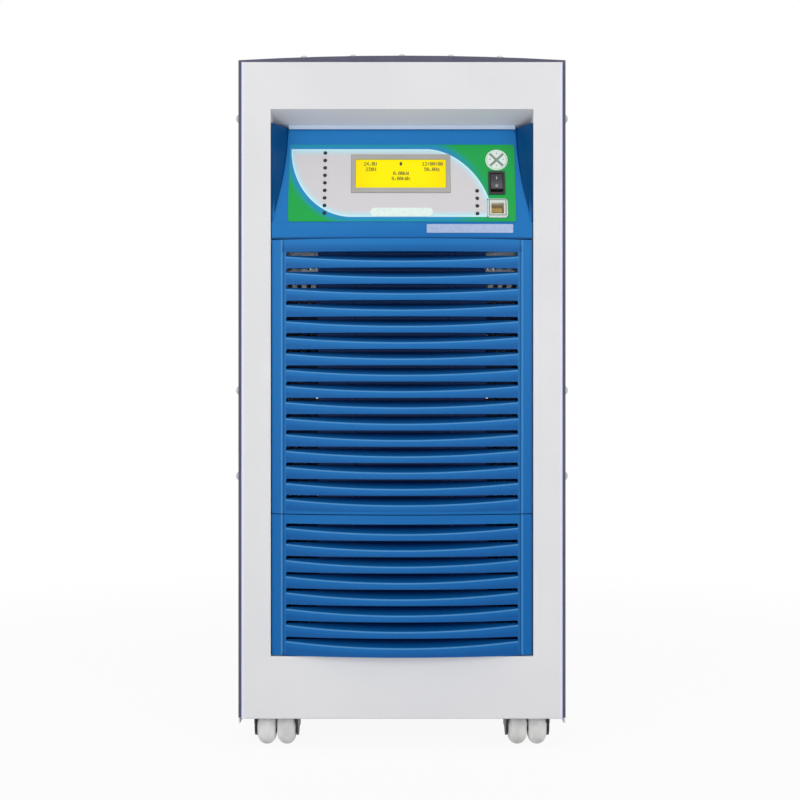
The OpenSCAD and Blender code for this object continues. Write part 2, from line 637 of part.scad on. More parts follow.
// ---- Power stage ----
module transformer_core() color([0.25, 0.25, 0.27]) in_cabinet() difference() {
    block([-core_w / 2, core_y - core_t / 2, core_z], [core_w / 2, core_y + core_t / 2, core_z + core_h]);
    both_sides() block([leg_w / 2, core_y - core_t, core_z + leg_w / 2],
        [core_w / 2 - leg_w / 2, core_y + core_t, core_z + core_h - leg_w / 2]);
}
module transformer_winding() color(copper) in_cabinet() translate([0, core_y, core_z + leg_w / 2 + 0.5])
    linear_extrude(core_h - leg_w - 1) difference() {
        round_rect(leg_w + 2 * winding_wall, core_t + 2 * winding_wall, winding_wall * 0.7);
        square([leg_w + 0.6, core_t + 0.6], center = true);
    }
module transformer_clamps() color(bright_steel) in_cabinet() {
    for (s = [-1, 1]) translate([0, core_y, 0]) mirror([0, s < 0 ? 1 : 0, 0]) difference() {
        union() {
            block([-core_w / 2, core_t / 2 + 0.2, core_z - 9.8], [core_w / 2, core_t / 2 + 3.2, core_z + leg_w / 2 - 3]);
            block([-core_w / 2, core_t / 2 + 0.2, core_z - 9.8], [core_w / 2, core_t / 2 + 26, core_z - 6.8]);
            block([-core_w / 2, core_t / 2 + 0.2, core_z + core_h - leg_w / 2 + 3], [core_w / 2, core_t / 2 + 3.2, core_z + core_h + 6]);
        }
        for (x = [-1, 1]) translate([x * (core_w / 2 - 12), core_t / 2 + 15, core_z - 11]) cylinder(r = 3.3, h = 6);
    }
    for (x = [-1, 1], z = [core_z - 4, core_z + core_h + 3.4]) translate([x * (core_w / 2 - 14), 0, z])
        rod_y(2.4, core_y - core_t / 2 - 6, core_y + core_t / 2 + 6);
}
choke_r = 42;
choke_pos = [-75, cab_d * 0.3];
module output_choke() color(copper) in_cabinet() translate([choke_pos[0], choke_pos[1], deck_z + 21.2]) {
    rotate_extrude() translate([choke_r - 18, 0]) circle(18);
    translate([0, 0, -21]) difference() {
        cylinder(r = 10, h = 42);
        translate([0, 0, -1]) cylinder(r = 2.6, h = 50);
    }
    translate([0, 0, -21]) cylinder(r = choke_r - 14, h = 6);
}
module heatsink() color([0.68, 0.69, 0.71]) in_cabinet() {
    block([-sink_w / 2, sink_y, deck_z + 0.2], [sink_w / 2, sink_y + 8, deck_z + sink_h]);
    for (i = [0:floor(sink_w / 11)]) translate([-sink_w / 2 + i * (sink_w - 2) / floor(sink_w / 11), sink_y + 7, deck_z + 0.2])
        cube([2, 48, sink_h - 0.2]);
}
module power_transistors() color(black) in_cabinet() for (i = [0:9])
    translate([-sink_w / 2 + 18 + i * (sink_w - 36) / 9, sink_y - 5.3, deck_z + 30]) {
        translate([-8, 0, 0]) cube([16, 5, 21]);
        for (x = [-5, 0, 5]) translate([x - 0.6, 2, -10.5]) cube([1.2, 0.8, 11]);
    }
module power_board() color(board_green) in_cabinet() difference() {
    union() {
        block([-sink_w / 2, sink_y - 104, deck_z + 16], [sink_w / 2, sink_y - 1, deck_z + 18]);
        for (x = [-1, 1], y = [-98, -8]) translate([x * (sink_w / 2 - 8), sink_y + y, deck_z + 0.2]) cylinder(r = 4, h = 16);
    }
    translate([choke_pos[0], choke_pos[1], deck_z]) cylinder(r = choke_r + 2, h = 50);
}
module bus_capacitors() color([0.12, 0.16, 0.32]) in_cabinet() for (i = [0:5])
    translate([-8 + (i % 3) * 40, sink_y - 78 + floor(i / 3) * 40, deck_z + 18.2]) {
        cylinder(r = 17.5, h = 52);
        translate([0, 0, 51]) cylinder(r = 16.5, h = 2);
    }

// ---- Fans ----
fan_y1 = cab_d - sheet - seat;
fan_y0 = fan_y1 - fan_t;
module at_fans() in_cabinet() both_sides() translate([fan_x, 0, fan_z]) children();
module fan_housings() color(black) at_fans() difference() {
    union() {
        slab(fan_y0, fan_y1) difference() {
            round_rect(fan_size, fan_size, 5);
            circle(fan_bore);
        }
        slab(fan_y0, fan_y0 + 3) for (a = [45, -45]) rotate(a) square([2 * fan_bore + 6, 6], center = true);
        rod_y(hub_r, fan_y0, fan_y0 + 8);
    }
    rod_y(fan_pin_r + run_fit, fan_y0 - 1, fan_y0 + 9);
    for (i = [-1, 1], j = [-1, 1]) translate([i * fan_hole, 0, j * fan_hole]) rod_y(hole_r, fan_y0 - 1, fan_y1 + 1);
}
module fan_rotor(side) color([0.15, 0.15, 0.16]) in_cabinet() translate([side * fan_x, 0, fan_z]) {
    rod_y(hub_r, fan_y0 + 8.4, fan_y1 - 2.4);
    rod_y(fan_pin_r, fan_y0 + 1, fan_y0 + 9);
    for (a = [0:7]) rotate([0, a * 360 / 7, 0]) intersection() {
        translate([0, (fan_y0 + fan_y1) / 2 + 3, hub_r - 1]) rotate([0, 0, 38]) translate([-11, -0.9, 0]) cube([22, 1.8, rotor_r - hub_r + 1]);
        rod_y(rotor_r, fan_y0 + 8.6, fan_y1 - 2.6);
    }
}
module fan_rotor_left() fan_rotor(-1);
module fan_rotor_right() fan_rotor(1);
module fan_guards() color(bright_steel) at_fans() translate([0, cab_d + 0.2, 0]) {
    for (k = [1:4]) translate([0, 3, 0]) rotate([90, 0, 0]) rotate_extrude() translate([fan_hole * k * 0.24 + 2, 0]) circle(guard_wire, $fn = 16);
    for (a = [45, 135]) rotate([0, a, 0]) translate([0, 1.6, 0]) rod_x(guard_wire, -fan_hole * 1.38, fan_hole * 1.38);
    for (i = [-1, 1], j = [-1, 1]) translate([i * fan_hole, 0, j * fan_hole]) {
        difference() {
            rod_y(5, 0.2, 2.6);
            rod_y(2.1, 0, 3);
        }
    }
}

// ---- Rear connections ----
breaker_y = cab_d + nose_out;
lever_y = breaker_y - 3;
module breaker_bodies() color([0.88, 0.88, 0.86]) in_cabinet() for (x = breaker_xs) translate([x, 0, breaker_z]) difference() {
    union() {
        block([-pole_w / 2, cab_d - sheet - seat - breaker_back, -breaker_h / 2], [pole_w / 2, cab_d - sheet - seat - 6, breaker_h / 2]);
        block([-pole_w / 2, cab_d - sheet - 30, -nose_h / 2], [pole_w / 2, breaker_y, nose_h / 2]);
    }
    block([-drum_w / 2 - 0.4, lever_y - drum_r - 2, -drum_r - 6], [drum_w / 2 + 0.4, breaker_y + 1, drum_r + 6]);
    translate([0, lever_y, 0]) rod_x(lever_pin_r + run_fit, -drum_w / 2 - 3, drum_w / 2 + 3);
}
// Drawn in its on position, pointing up
module breaker_lever(i) color(black) in_cabinet() translate([breaker_xs[i], lever_y, breaker_z]) {
    rod_x(drum_r, -drum_w / 2, drum_w / 2);
    rod_x(lever_pin_r, -drum_w / 2 - 2.7, drum_w / 2 + 2.7);
    rotate([lever_swing / 2, 0, 0]) translate([-drum_w / 2, 3, -2]) cube([drum_w, 13, 4]);
}
module solar_breaker_lever() breaker_lever(0);
module battery_breaker_lever() breaker_lever(1);
module mains_breaker_lever() breaker_lever(2);
module terminal_blocks() color([0.16, 0.16, 0.17]) in_cabinet() for (k = [0, 1]) translate([-110 + k * 76, cab_d - 120, base_top + 0.2]) difference() {
    cube([66, 30, 26]);
    for (i = [0:4]) translate([4 + i * 12.2, -1, 9]) cube([9.5, 10, 18]);
    for (i = [0:4]) translate([4 + i * 12.2, 21, 9]) cube([9.5, 10, 18]);
}
module cable_glands() color(black) in_cabinet() for (x = gland_xs) translate([x, 0, gland_z]) difference() {
    union() {
        rod_y(gland_r + 3, cab_d - sheet - 9, cab_d + 8);
        translate([0, cab_d + 0.2, 0]) rotate([-90, 0, 0]) cylinder(r = gland_hex, h = 5, $fn = 6);
        translate([0, cab_d - sheet - 6, 0]) rotate([-90, 0, 0]) cylinder(r = gland_hex, h = 5.8, $fn = 6);
        rod_y(gland_r + 4.6, cab_d + 5, cab_d + 17);
        intersection() {
            rod_y(gland_r + 4.6, cab_d + 16, cab_d + gland_out);
            translate([0, cab_d + gland_out - 11.5, 0]) sphere(r = gland_r + 6.5);
        }
    }
    rod_y(gland_r, cab_d - sheet - 10, cab_d + gland_out + 1);
}
module earth_stud() color([0.78, 0.64, 0.32]) in_cabinet() translate([stud_pos[0], 0, stud_pos[1]]) {
    rod_y(stud_r, cab_d - sheet - 8, cab_d + stud_out);
    translate([0, cab_d - sheet - 5.2, 0]) rotate([-90, 0, 0]) cylinder(r = 5.8, h = 5, $fn = 6);
    rod_y(7, cab_d + 0.2, cab_d + 1.4);
}

// ---- Castors ----
module at_castors() for (x = [-1, 1], y = castor_ys) translate([x * castor_x, y, 0]) children();
module castor_screw_places() for (x = [-1, 1], y = [-1, 1]) translate([x * castor_screw, y * castor_screw, 0]) children();
module castor_plates() color(bright_steel) in_cabinet() at_castors() difference() {
    translate([0, 0, plate_z]) linear_extrude(plate_t) round_rect(2 * plate_half, 2 * plate_half, 3);
    translate([0, 0, plate_z - 1]) cylinder(r = stem_r + 0.02, h = plate_t + 2);
    castor_screw_places() translate([0, 0, plate_z - 1]) cylinder(r = hole_r, h = plate_t + 2);
}
module castor_stems() color(bright_steel) in_cabinet() at_castors() {
    translate([0, 0, stem_low]) cylinder(r = stem_r, h = castor_h + 1 - stem_low);
    translate([0, 0, castor_h + 0.1]) cylinder(r = 6.5, h = 2.4);
}
stem_low = hood_top - 9;
// Hood of one castor, its swivel axis on Z and its axle trail in front of it
module hood() difference() {
    intersection() {
        translate([0, 0, 1]) cylinder(r = swing_r, h = castor_h);
        hood_body();
    }
    translate([0, -trail, wheel_r]) {
        rod_x(wheel_r + 1, -cavity_x, cavity_x);
        block([-cavity_x, -hood_r - 1, -hood_r], [cavity_x, -6, 15]);
        rod_x(axle_r + run_fit, -hood_x - 1, hood_x + 1);
    }
    translate([0, 0, stem_low - 0.4]) cylinder(r = stem_r + run_fit, h = 30);
}
module hood_body() {
    translate([0, -trail, wheel_r]) {
        intersection() {
            rod_x(hood_r, -hood_x, hood_x);
            union() {
                block([-hood_x, -hood_r, 3], [hood_x, hood_r, hood_r]);
                block([-hood_x, 2, -6], [hood_x, hood_r, hood_r]);
            }
        }
        rod_x(cheek_r, -hood_x, hood_x);
    }
    translate([0, 0, wheel_r + hood_r - 8]) cylinder(r = stem_r + 6, h = hood_top - wheel_r - hood_r + 8);
}
module castor_place(x, y) in_cabinet() translate([x * castor_x, castor_ys[y], 0]) children();
module castor_hood(x, y) color(black) castor_place(x, y) hood();
module castor_axle(x, y) color(bright_steel) castor_place(x, y) translate([0, -trail, wheel_r]) rod_x(axle_r, -hood_x + 0.1, hood_x - 0.1);
module castor_wheels(x, y) color([0.80, 0.80, 0.79]) castor_place(x, y) translate([0, -trail, wheel_r])
    both_sides() translate([wheel_mid, 0, 0]) rotate([0, 90, 0]) difference() {
        union() {
            rotate_extrude() translate([wheel_r - tread_r, 0]) circle(tread_r);
            translate([0, 0, -tread_r + 1]) cylinder(r = wheel_r - tread_r, h = 2 * tread_r - 2);
        }
        translate([0, 0, -tread_r - 1]) cylinder(r = axle_r + 0.02, h = 2 * tread_r + 2);
    }
module castor_hood_front_left() castor_hood(-1, 0);
module castor_hood_front_right() castor_hood(1, 0);
module castor_hood_rear_left() castor_hood(-1, 1);
module castor_hood_rear_right() castor_hood(1, 1);
module castor_axle_front_left() castor_axle(-1, 0);
module castor_axle_front_right() castor_axle(1, 0);
module castor_axle_rear_left() castor_axle(-1, 1);
module castor_axle_rear_right() castor_axle(1, 1);
module castor_wheels_front_left() castor_wheels(-1, 0);
module castor_wheels_front_right() castor_wheels(1, 0);
module castor_wheels_rear_left() castor_wheels(-1, 1);
module castor_wheels_rear_right() castor_wheels(1, 1);

base_tray();
front_frame();
front_gasket();
left_side_panel();
right_side_panel();
top_cover();
rear_panel();
cabinet_screws();
component_deck();
vent_screen();
control_fascia();
upper_louvre_panel();
lower_louvre_panel();
control_overlay();
display_bezel();
display_panel();
indicator_lights();
keypad_ring();
key_up();
key_right();
key_down();
key_left();
switch_housing();
power_rocker();
data_port();
blank_plates();
control_board();
transformer_core();
transformer_winding();
transformer_clamps();
output_choke();
heatsink();
power_transistors();
power_board();
bus_capacitors();
fan_housings();
fan_rotor_left();
fan_rotor_right();
fan_guards();
breaker_bodies();
solar_breaker_lever();
battery_breaker_lever();
mains_breaker_lever();
terminal_blocks();
cable_glands();
earth_stud();
castor_plates();
castor_stems();
castor_hood_front_left();
castor_hood_front_right();
castor_hood_rear_left();
castor_hood_rear_right();
castor_axle_front_left();
castor_axle_front_right();
castor_axle_rear_left();
castor_axle_rear_right();
castor_wheels_front_left();
castor_wheels_front_right();
castor_wheels_rear_left();
castor_wheels_rear_right();
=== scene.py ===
import json
import math

import bmesh
import bpy
from mathutils import Matrix, Vector

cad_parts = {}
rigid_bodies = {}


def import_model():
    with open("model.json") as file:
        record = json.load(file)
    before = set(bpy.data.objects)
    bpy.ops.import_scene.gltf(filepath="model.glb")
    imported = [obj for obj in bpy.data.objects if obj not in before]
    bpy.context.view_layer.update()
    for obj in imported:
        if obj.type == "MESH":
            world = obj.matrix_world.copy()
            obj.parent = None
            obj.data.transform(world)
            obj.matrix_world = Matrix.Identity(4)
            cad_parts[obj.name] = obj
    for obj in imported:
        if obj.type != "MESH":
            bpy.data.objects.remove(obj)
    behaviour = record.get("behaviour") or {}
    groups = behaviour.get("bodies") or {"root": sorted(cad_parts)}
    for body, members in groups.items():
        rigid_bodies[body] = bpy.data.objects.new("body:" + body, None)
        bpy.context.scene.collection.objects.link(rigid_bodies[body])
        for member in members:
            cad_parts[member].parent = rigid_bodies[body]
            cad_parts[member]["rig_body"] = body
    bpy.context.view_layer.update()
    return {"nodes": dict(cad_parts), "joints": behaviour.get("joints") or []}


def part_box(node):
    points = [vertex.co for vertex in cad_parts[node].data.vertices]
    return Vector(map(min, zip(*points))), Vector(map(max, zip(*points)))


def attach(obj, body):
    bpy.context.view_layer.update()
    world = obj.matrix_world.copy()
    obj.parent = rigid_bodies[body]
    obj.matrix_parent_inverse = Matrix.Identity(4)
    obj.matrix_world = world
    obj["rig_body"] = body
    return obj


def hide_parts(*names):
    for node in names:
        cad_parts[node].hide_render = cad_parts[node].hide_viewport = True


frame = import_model()
MM = 0.001

# ---- Cabinet shell ----
# Folded sheet steel, 1.5 mm thick, in a light grey powder coat with a fine orange-peel surface. The front frame
# is one pressing with rounded outer edges; the sides, the crowned top and the rear are screwed to its flanges.


def operator(kind, swapped=False):
    """A sum of two wires, or of a wire and a number."""
    return lambda self, other: self.math(kind, other, self) if swapped else self.math(kind, self, other)


class Wire:
    """A shader socket that can stand in sums. Wire(tree) alone is the start of a material's nodes."""

    def __init__(self, tree, socket=None):
        self.tree, self.socket = tree, socket

    def node(self, kind, settings=None, inputs=None, output=0):
        made = self.tree.nodes.new(kind if kind.startswith(("Geometry", "Function")) else "ShaderNode" + kind)
        for name, value in (settings or {}).items():
            setattr(made, name, value)
        for key, value in (inputs or {}).items():
            if isinstance(value, (Wire, list)):
                for wire in [value] if isinstance(value, Wire) else value:
                    self.tree.links.new(wire.socket, made.inputs[key])
            else:
                made.inputs[key].default_value = value
        return Wire(self.tree, made.outputs[output])

    def grow(self, kind, inputs=None, settings=None):
        """A node of a Geometry Nodes tree."""
        return self.node("GeometryNode" + kind, settings, inputs)

    def triple(self, x=0.0, y=0.0, z=0.0):
        return self.node("CombineXYZ", None, {0: x, 1: y, 2: z})

    def ring(self, sides, radius):
        """A round curve."""
        return self.grow("CurvePrimitiveCircle", {"Resolution": sides, "Radius": radius})

    def bar(self, sides, radius, length):
        """A round bar along Z, about its middle."""
        return self.grow("MeshCylinder", {"Vertices": sides, "Radius": radius, "Depth": length})

    def swept(self, section):
        """A rod that follows this curve."""
        return self.grow("CurveToMesh", {"Curve": self, "Profile Curve": section, "Fill Caps": True})

    def shifted(self, offset, turn=(0.0, 0.0, 0.0)):
        return self.grow("Transform", {"Geometry": self, "Translation": offset, "Rotation": turn})

    def bearing(self, piece, extra=None):
        """Copies of a piece at these points."""
        return self.grow("InstanceOnPoints", {"Points": self, "Instance": piece, **(extra or {})})

    def outward(self):
        """Turns that point a copy's X away from the middle."""
        return self.node("FunctionNodeAlignRotationToVector", {"axis": "X"}, {"Vector": self.grow("InputPosition")})

    def math(self, operation, a, b=0.0):
        return self.node("Math", {"operation": operation}, {0: a, 1: b})

    __add__ = __radd__ = operator("ADD")
    __sub__, __rsub__ = operator("SUBTRACT"), operator("SUBTRACT", True)
    __mul__ = __rmul__ = operator("MULTIPLY")
    __truediv__ = operator("DIVIDE")
    __gt__, __lt__ = operator("GREATER_THAN"), operator("LESS_THAN")

    def abs(self):
        return self.math("ABSOLUTE", self)

    def ramp(self, low, high, out_low=0.0, out_high=1.0):
        return self.node("MapRange", {"interpolation_type": "SMOOTHSTEP"},
                         {"Value": self, "From Min": low, "From Max": high, "To Min": out_low, "To Max": out_high})

    def band(self, low, high):
        """Noise stretched over the values from low to high."""
        return self.ramp(0.3, 0.7, low, high)

    def tint(self, a, b):
        """Colour a where this is 0 and colour b where it is 1."""
        return self.node("Mix", {"data_type": "RGBA"}, {0: self, 6: a, 7: b}, 2)

    def axes(self):
        """Object coordinates in millimetres, as x, y and z."""
        place = self.node("TexCoord", output=3)
        scaled = self.node("VectorMath", {"operation": "SCALE"}, {0: place, "Scale": 1000.0})
        return [self.node("SeparateXYZ", None, {0: scaled}, i) for i in range(3)]

    def noise(self, scale, detail=2.0, stretch=(1.0, 1.0, 1.0)):
        """Noise about 0.5, with scale in cells for each metre."""
        place = self.node("Mapping", None, {"Vector": self.node("TexCoord", output=3), "Scale": stretch})
        return self.node("TexNoise", None, {"Vector": place, "Scale": scale, "Detail": detail})

    def relief(self, height, depth):
        """A normal from a height of 0 to 1 that stands for depth metres."""
        return self.node("Bump", None, {"Height": height, "Distance": depth, "Strength": 1.0})

    def skin(self, colour, low, high, depth):
        """Sockets of a plain shader whose roughness, from low to high, and bump follow this noise."""
        return {"Base Color": colour, "Roughness": self.band(low, high), "Normal": self.relief(self, depth)}


def rgb(red, green, blue):
    """Linear colour from display values of 0 to 255."""
    def linear(value):
        value /= 255
        return value / 12.92 if value <= 0.04045 else ((value + 0.055) / 1.055) ** 2.4
    return (linear(red), linear(green), linear(blue), 1.0)


def finish(name, paint):
    """A material whose nodes paint(wire) makes; paint returns the shader, or the sockets of a plain one."""
    material = bpy.data.materials.new(name)
    material.use_nodes = True
    tree = material.node_tree
    tree.nodes.clear()
    wire = Wire(tree)
    surface = paint(wire)
    if isinstance(surface, dict):
        surface = wire.node("BsdfPrincipled", None, surface)
    tree.links.new(surface.socket, tree.nodes.new("ShaderNodeOutputMaterial").inputs["Surface"])
    return material


def coated(colour, shift, rim=None):
    """Powder coat: even colour with a slight drift, and orange peel a couple of millimetres across.

    rim is the half width of a face whose rounded outer edges get a painted lavender reflection; with rim, surfaces
    more than 25 to 28 mm behind the front, at the back of the opening's ceiling, get a painted bluish reflection."""
    def paint(wire):
        drift = wire.noise(9.0, 3.0)
        peel = wire.noise(620.0, 2.0)
        shade = drift.ramp(0.3, 0.7).tint(colour, shift)
        if rim:
            x, y, z = wire.axes()
            # Painted reflection: a lavender band along the rounded outer edges, 1.2 to 3.6 mm in from the sides.
            shade = x.abs().ramp(rim - 3.6, rim - 1.2).tint(shade, rgb(226, 226, 250))
            # Painted reflection: surfaces more than 25 to 28 mm behind the front, the back of the opening's ceiling,
            # go bluish.
            shade = y.ramp(front_mm + 25.0, front_mm + 28.0).tint(shade, rgb(178, 196, 220))
        return peel.skin(shade, 0.36, 0.5, 0.00006) | {"IOR": 1.5}
    return paint


def dress(material, *nodes):
    """Gives CAD nodes that keep their own mesh a material."""
    for node in nodes:
        mesh = frame["nodes"][node].data
        mesh.materials.clear()
        mesh.materials.append(material)


def body_of(node):
    return frame["nodes"][node]["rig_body"]


def middle(node):
    low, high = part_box(node)
    return (low + high) / 2


def linked(name, data):
    obj = bpy.data.objects.new(name, data)
    bpy.context.scene.collection.objects.link(obj)
    return obj


def built(name, build, smooth=True):
    """An object from a bmesh, which is freed. Without smooth, each face keeps its own shading."""
    mesh = bpy.data.meshes.new(name)
    build.to_mesh(mesh)
    build.free()
    if smooth:
        mesh.polygons.foreach_set("use_smooth", [True] * len(mesh.polygons))
    return linked(name, mesh)


def fixed_mesh(obj):
    """The object's evaluated mesh as a plain mesh, with its modifiers gone."""
    evaluated = obj.evaluated_get(bpy.context.evaluated_depsgraph_get())
    mesh = bpy.data.meshes.new_from_object(evaluated)
    obj.modifiers.clear()
    obj.data = mesh
    return obj


def hand_over(obj, material, nodes, body=None):
    """Puts a finished piece on its body, in its material, in place of CAD nodes."""
    if material:
        obj.data.materials.clear()
        obj.data.materials.append(material)
    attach(obj, body or body_of(nodes[0]))
    if nodes:
        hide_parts(*nodes)
    return obj


def add_to(node, obj, material=None):
    """Puts an extra piece on a CAD node's body, in its material slot."""
    return hand_over(obj, material, [], body_of(node))


def softened(node, material, edge, segments=2, sharp=40.0, melt=True):
    """A copy of a CAD node with its faces joined up and its edges rounded by edge millimetres."""
    build = bmesh.new()
    build.from_mesh(frame["nodes"][node].data)
    bmesh.ops.remove_doubles(build, verts=build.verts, dist=2e-6)
    if melt:
        bmesh.ops.dissolve_limit(build, angle_limit=math.radians(0.5), verts=build.verts, edges=build.edges)
    obj = built(node + "_rounded", build)
    bevel = obj.modifiers.new("Edges", "BEVEL")
    bevel.width, bevel.segments = edge * MM, segments
    bevel.limit_method, bevel.angle_limit = "ANGLE", math.radians(sharp)
    bevel.use_clamp_overlap = True
    obj.modifiers.new("Shading", "WEIGHTED_NORMAL").keep_sharp = True
    fixed_mesh(obj)
    return hand_over(obj, material, [node])


half_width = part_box("front_frame")[1].x / MM
front_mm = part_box("front_frame")[0].y / MM
coat = finish("grey_powder_coat", coated(rgb(222, 222, 224), rgb(218, 218, 221)))
front_coat_painted_sheen = finish("front_powder_coat_painted_sheen", coated(rgb(222, 222, 224), rgb(218, 218, 221), rim=half_width))
side_coat = finish("side_powder_coat", coated(rgb(216, 216, 224), rgb(211, 211, 221)))
for node, paint, edge in (("front_frame", front_coat_painted_sheen, 0.5), ("left_side_panel", side_coat, 0.5),
                          ("right_side_panel", side_coat, 0.5), ("top_cover", side_coat, 0.4),
                          ("rear_panel", coat, 0.4)):
    softened(node, paint, edge)


# ---- Base tray and castors ----
# A galvanised steel tray carries the weight, with a twin-wheel castor bolted under each corner. The wheels are
# light grey rubber moulded round a nylon hub, and each pair turns in a black nylon hood under a swivel stem.


def plated(colour, rough=0.34, cells=260.0):
    """Zinc plating: metal with a faint spangle and rolled streaks."""
    def paint(wire):
        spangle = wire.node("TexVoronoi", {"feature": "F1"},
                            {"Vector": wire.node("TexCoord", output=3), "Scale": cells}, 1)
        grey = wire.node("RGBToBW", None, {0: spangle})
        streak = wire.noise(240.0, 3.0, (1.0, 1.0, 0.06))
        darker = tuple(value * 0.82 for value in colour[:3]) + (1.0,)
        return {"Base Color": (grey * 0.5 + streak * 0.5).ramp(0.2, 0.8).tint(colour, darker), "Metallic": 1.0,
                "Roughness": streak.band(rough - 0.07, rough + 0.1),
                "Normal": wire.relief(grey * 0.3 + streak, 0.00004)}
    return paint


def moulded(colour, rough, grain=1500.0, depth=0.00005):
    """Moulded plastic: a fine spark-eroded grain and a slight drift in colour."""
    def paint(wire):
        cloud = wire.noise(14.0, 2.0)
        sparks = wire.noise(grain, 2.0)
        other = tuple(value * 0.92 for value in colour[:3]) + (1.0,)
        return sparks.skin(cloud.ramp(0.35, 0.65).tint(colour, other), rough - 0.05, rough + 0.07, depth)
    return paint


def lathed(name, profile, centre, turns):
    """A closed profile turned about an axis along X. The profile's points are (radius, station) in millimetres."""
    build = bmesh.new()
    angles = [math.tau * i / turns for i in range(turns)]
    rings = [[build.verts.new((station * MM, radius * MM * math.cos(angle), radius * MM * math.sin(angle)))
              for angle in angles] for radius, station in profile]
    for i, a in enumerate(rings):
        b = rings[(i + 1) % len(rings)]
        for j in range(turns):
            k = (j + 1) % turns
            build.faces.new((a[j], a[k], b[k], b[j]))
    bmesh.ops.recalc_face_normals(build, faces=build.faces)
    build.transform(Matrix.Translation(centre))
    obj = built(name, build)
    obj.data.set_sharp_from_angle(angle=math.radians(35))
    return obj


def joined(name, objects):
    """One object from several."""
    build = bmesh.new()
    for obj in objects:
        build.from_mesh(obj.data)
        bpy.data.objects.remove(obj)
    return built(name, build, False)


def rubber(wire):
    grime = wire.noise(60.0, 4.0)
    wear_and_painted_highlight = wire.node("Attribute", {"attribute_name": "wear"}, output=2)
    clean = grime.tint(rgb(244, 244, 244), rgb(234, 234, 233))
    dark = (wear_and_painted_highlight * grime.band(0.25, 1.0)).tint(clean, rgb(210, 209, 206))
    return {"Base Color": dark, "Roughness": grime.band(0.5, 0.68),
            "Normal": wire.relief(wire.noise(900.0), 0.00008)}


def plastic(name, colour, rough):
    return finish(name, moulded(rgb(*colour), rough))


zinc = finish("zinc_plate", plated(rgb(196, 198, 202)))
hood_nylon = plastic("black_nylon", (30, 31, 34), 0.48)
tread_rubber = finish("grey_tread", rubber)
softened("base_tray", zinc, 0.3, 1)
softened("castor_plates", zinc, 0.25, 1)
softened("castor_stems", zinc, 0.25, 1)
for corner in ("front_left", "front_right", "rear_left", "rear_right"):
    low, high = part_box("castor_wheels_" + corner)
    centre = middle("castor_wheels_" + corner)
    wheel_r = (high.z - low.z) / 2 / MM
    gap, bore, boss_r, hub_r, dish, lip = 1.6, 2.6, 4.4, 9.6, 1.1, 0.5
    half = ((high.x - low.x) / MM - gap) / 4
    core_r = wheel_r - half
    bulge = [(core_r + half * math.sin(a * math.pi / 16), -half * math.cos(a * math.pi / 16)) for a in range(17)]
    flank = [(bore, -half), (boss_r, -half), (boss_r + 0.4, dish - half), (hub_r - lip, dish - half), (hub_r, -half)]
    crown = [(wheel_r - 0.12, -0.6), (wheel_r, -0.2), (wheel_r, 0.2), (wheel_r - 0.12, 0.6)]
    profile = flank + bulge[:8] + crown + bulge[9:] + [(radius, -station) for radius, station in reversed(flank)]
    pair = [lathed("wheel", profile, centre + Vector((side * (gap / 2 + half) * MM, 0, 0)), turns=72)
            for side in (-1, 1)]
    wheels = joined("castor_treads_" + corner, pair)
    wheels.data.polygons.foreach_set("use_smooth", [True] * len(wheels.data.polygons))
    wear = wheels.data.attributes.new("wear", "FLOAT", "POINT")
    for vertex, value in zip(wheels.data.vertices, wear.data):
        radius = math.hypot(vertex.co.y - centre.y, vertex.co.z - centre.z) / MM
        value.value = min(1.0, max(0.0, (radius - wheel_r + 2.5) / 2.5))
    hand_over(wheels, tread_rubber, ["castor_wheels_" + corner])
    softened("castor_hood_" + corner, hood_nylon, 0.5, 2)
    dress(zinc, "castor_axle_" + corner)


# ---- Seal and perforated screen ----
# A rubber seal sits behind the front frame. The air is drawn through a galvanised steel sheet, punched all over
# with round holes, that is spot-welded across the opening behind the louvres.


def seal_rubber(wire):
    streak = wire.noise(700.0, 2.0, (1.0, 1.0, 0.1))
    return streak.skin(wire.noise(30.0).tint(rgb(86, 86, 108), rgb(66, 66, 88)), 0.45, 0.6, 0.00005)


def growth(name, numbers):
    """A Geometry Nodes tree with a geometry input and named number inputs, as wires."""
    tree = bpy.data.node_groups.new(name, "GeometryNodeTree")
    tree.interface.new_socket("Points", in_out="INPUT", socket_type="NodeSocketGeometry")
    for number in numbers:
        tree.interface.new_socket(number, in_out="INPUT", socket_type="NodeSocketFloat")
    tree.interface.new_socket("Pieces", in_out="OUTPUT", socket_type="NodeSocketGeometry")
    start = tree.nodes.new("NodeGroupInput")
    return tree, [Wire(tree, socket) for socket in start.outputs[:len(numbers) + 1]]


def close_growth(tree, pieces, material):
    """Ends a tree in realized instances with a material."""
    real = pieces.grow("RealizeInstances", {0: pieces})
    painted = real.grow("SetMaterial", {"Geometry": real, "Material": material})
    tree.links.new(painted.socket, tree.nodes.new("NodeGroupOutput").inputs[0])


def grown(name, tree, numbers, points=((0, 0, 0),), notes=None):
    """The mesh that a tree makes at points, as a new object. notes are the points' named numbers or vectors."""
    mesh = bpy.data.meshes.new(name)
    mesh.from_pydata([tuple(point) for point in points], [], [])
    for note, values in (notes or {}).items():
        if isinstance(values[0], Vector):
            numbers_in_row = [number for vector in values for number in vector]
            mesh.attributes.new(note, "FLOAT_VECTOR", "POINT").data.foreach_set("vector", numbers_in_row)
        else:
            mesh.attributes.new(note, "FLOAT", "POINT").data.foreach_set("value", values)
    obj = linked(name, mesh)
    modifier = obj.modifiers.new("Grow", "NODES")
    modifier.node_group = tree
    for item in tree.interface.items_tree:
        if item.in_out == "INPUT" and item.name in numbers:
            modifier[item.identifier] = numbers[item.name]
    fixed_mesh(obj)
    obj.data.polygons.foreach_set("use_smooth", [True] * len(obj.data.polygons))
    obj.data.set_sharp_from_angle(angle=math.radians(35))
    return obj


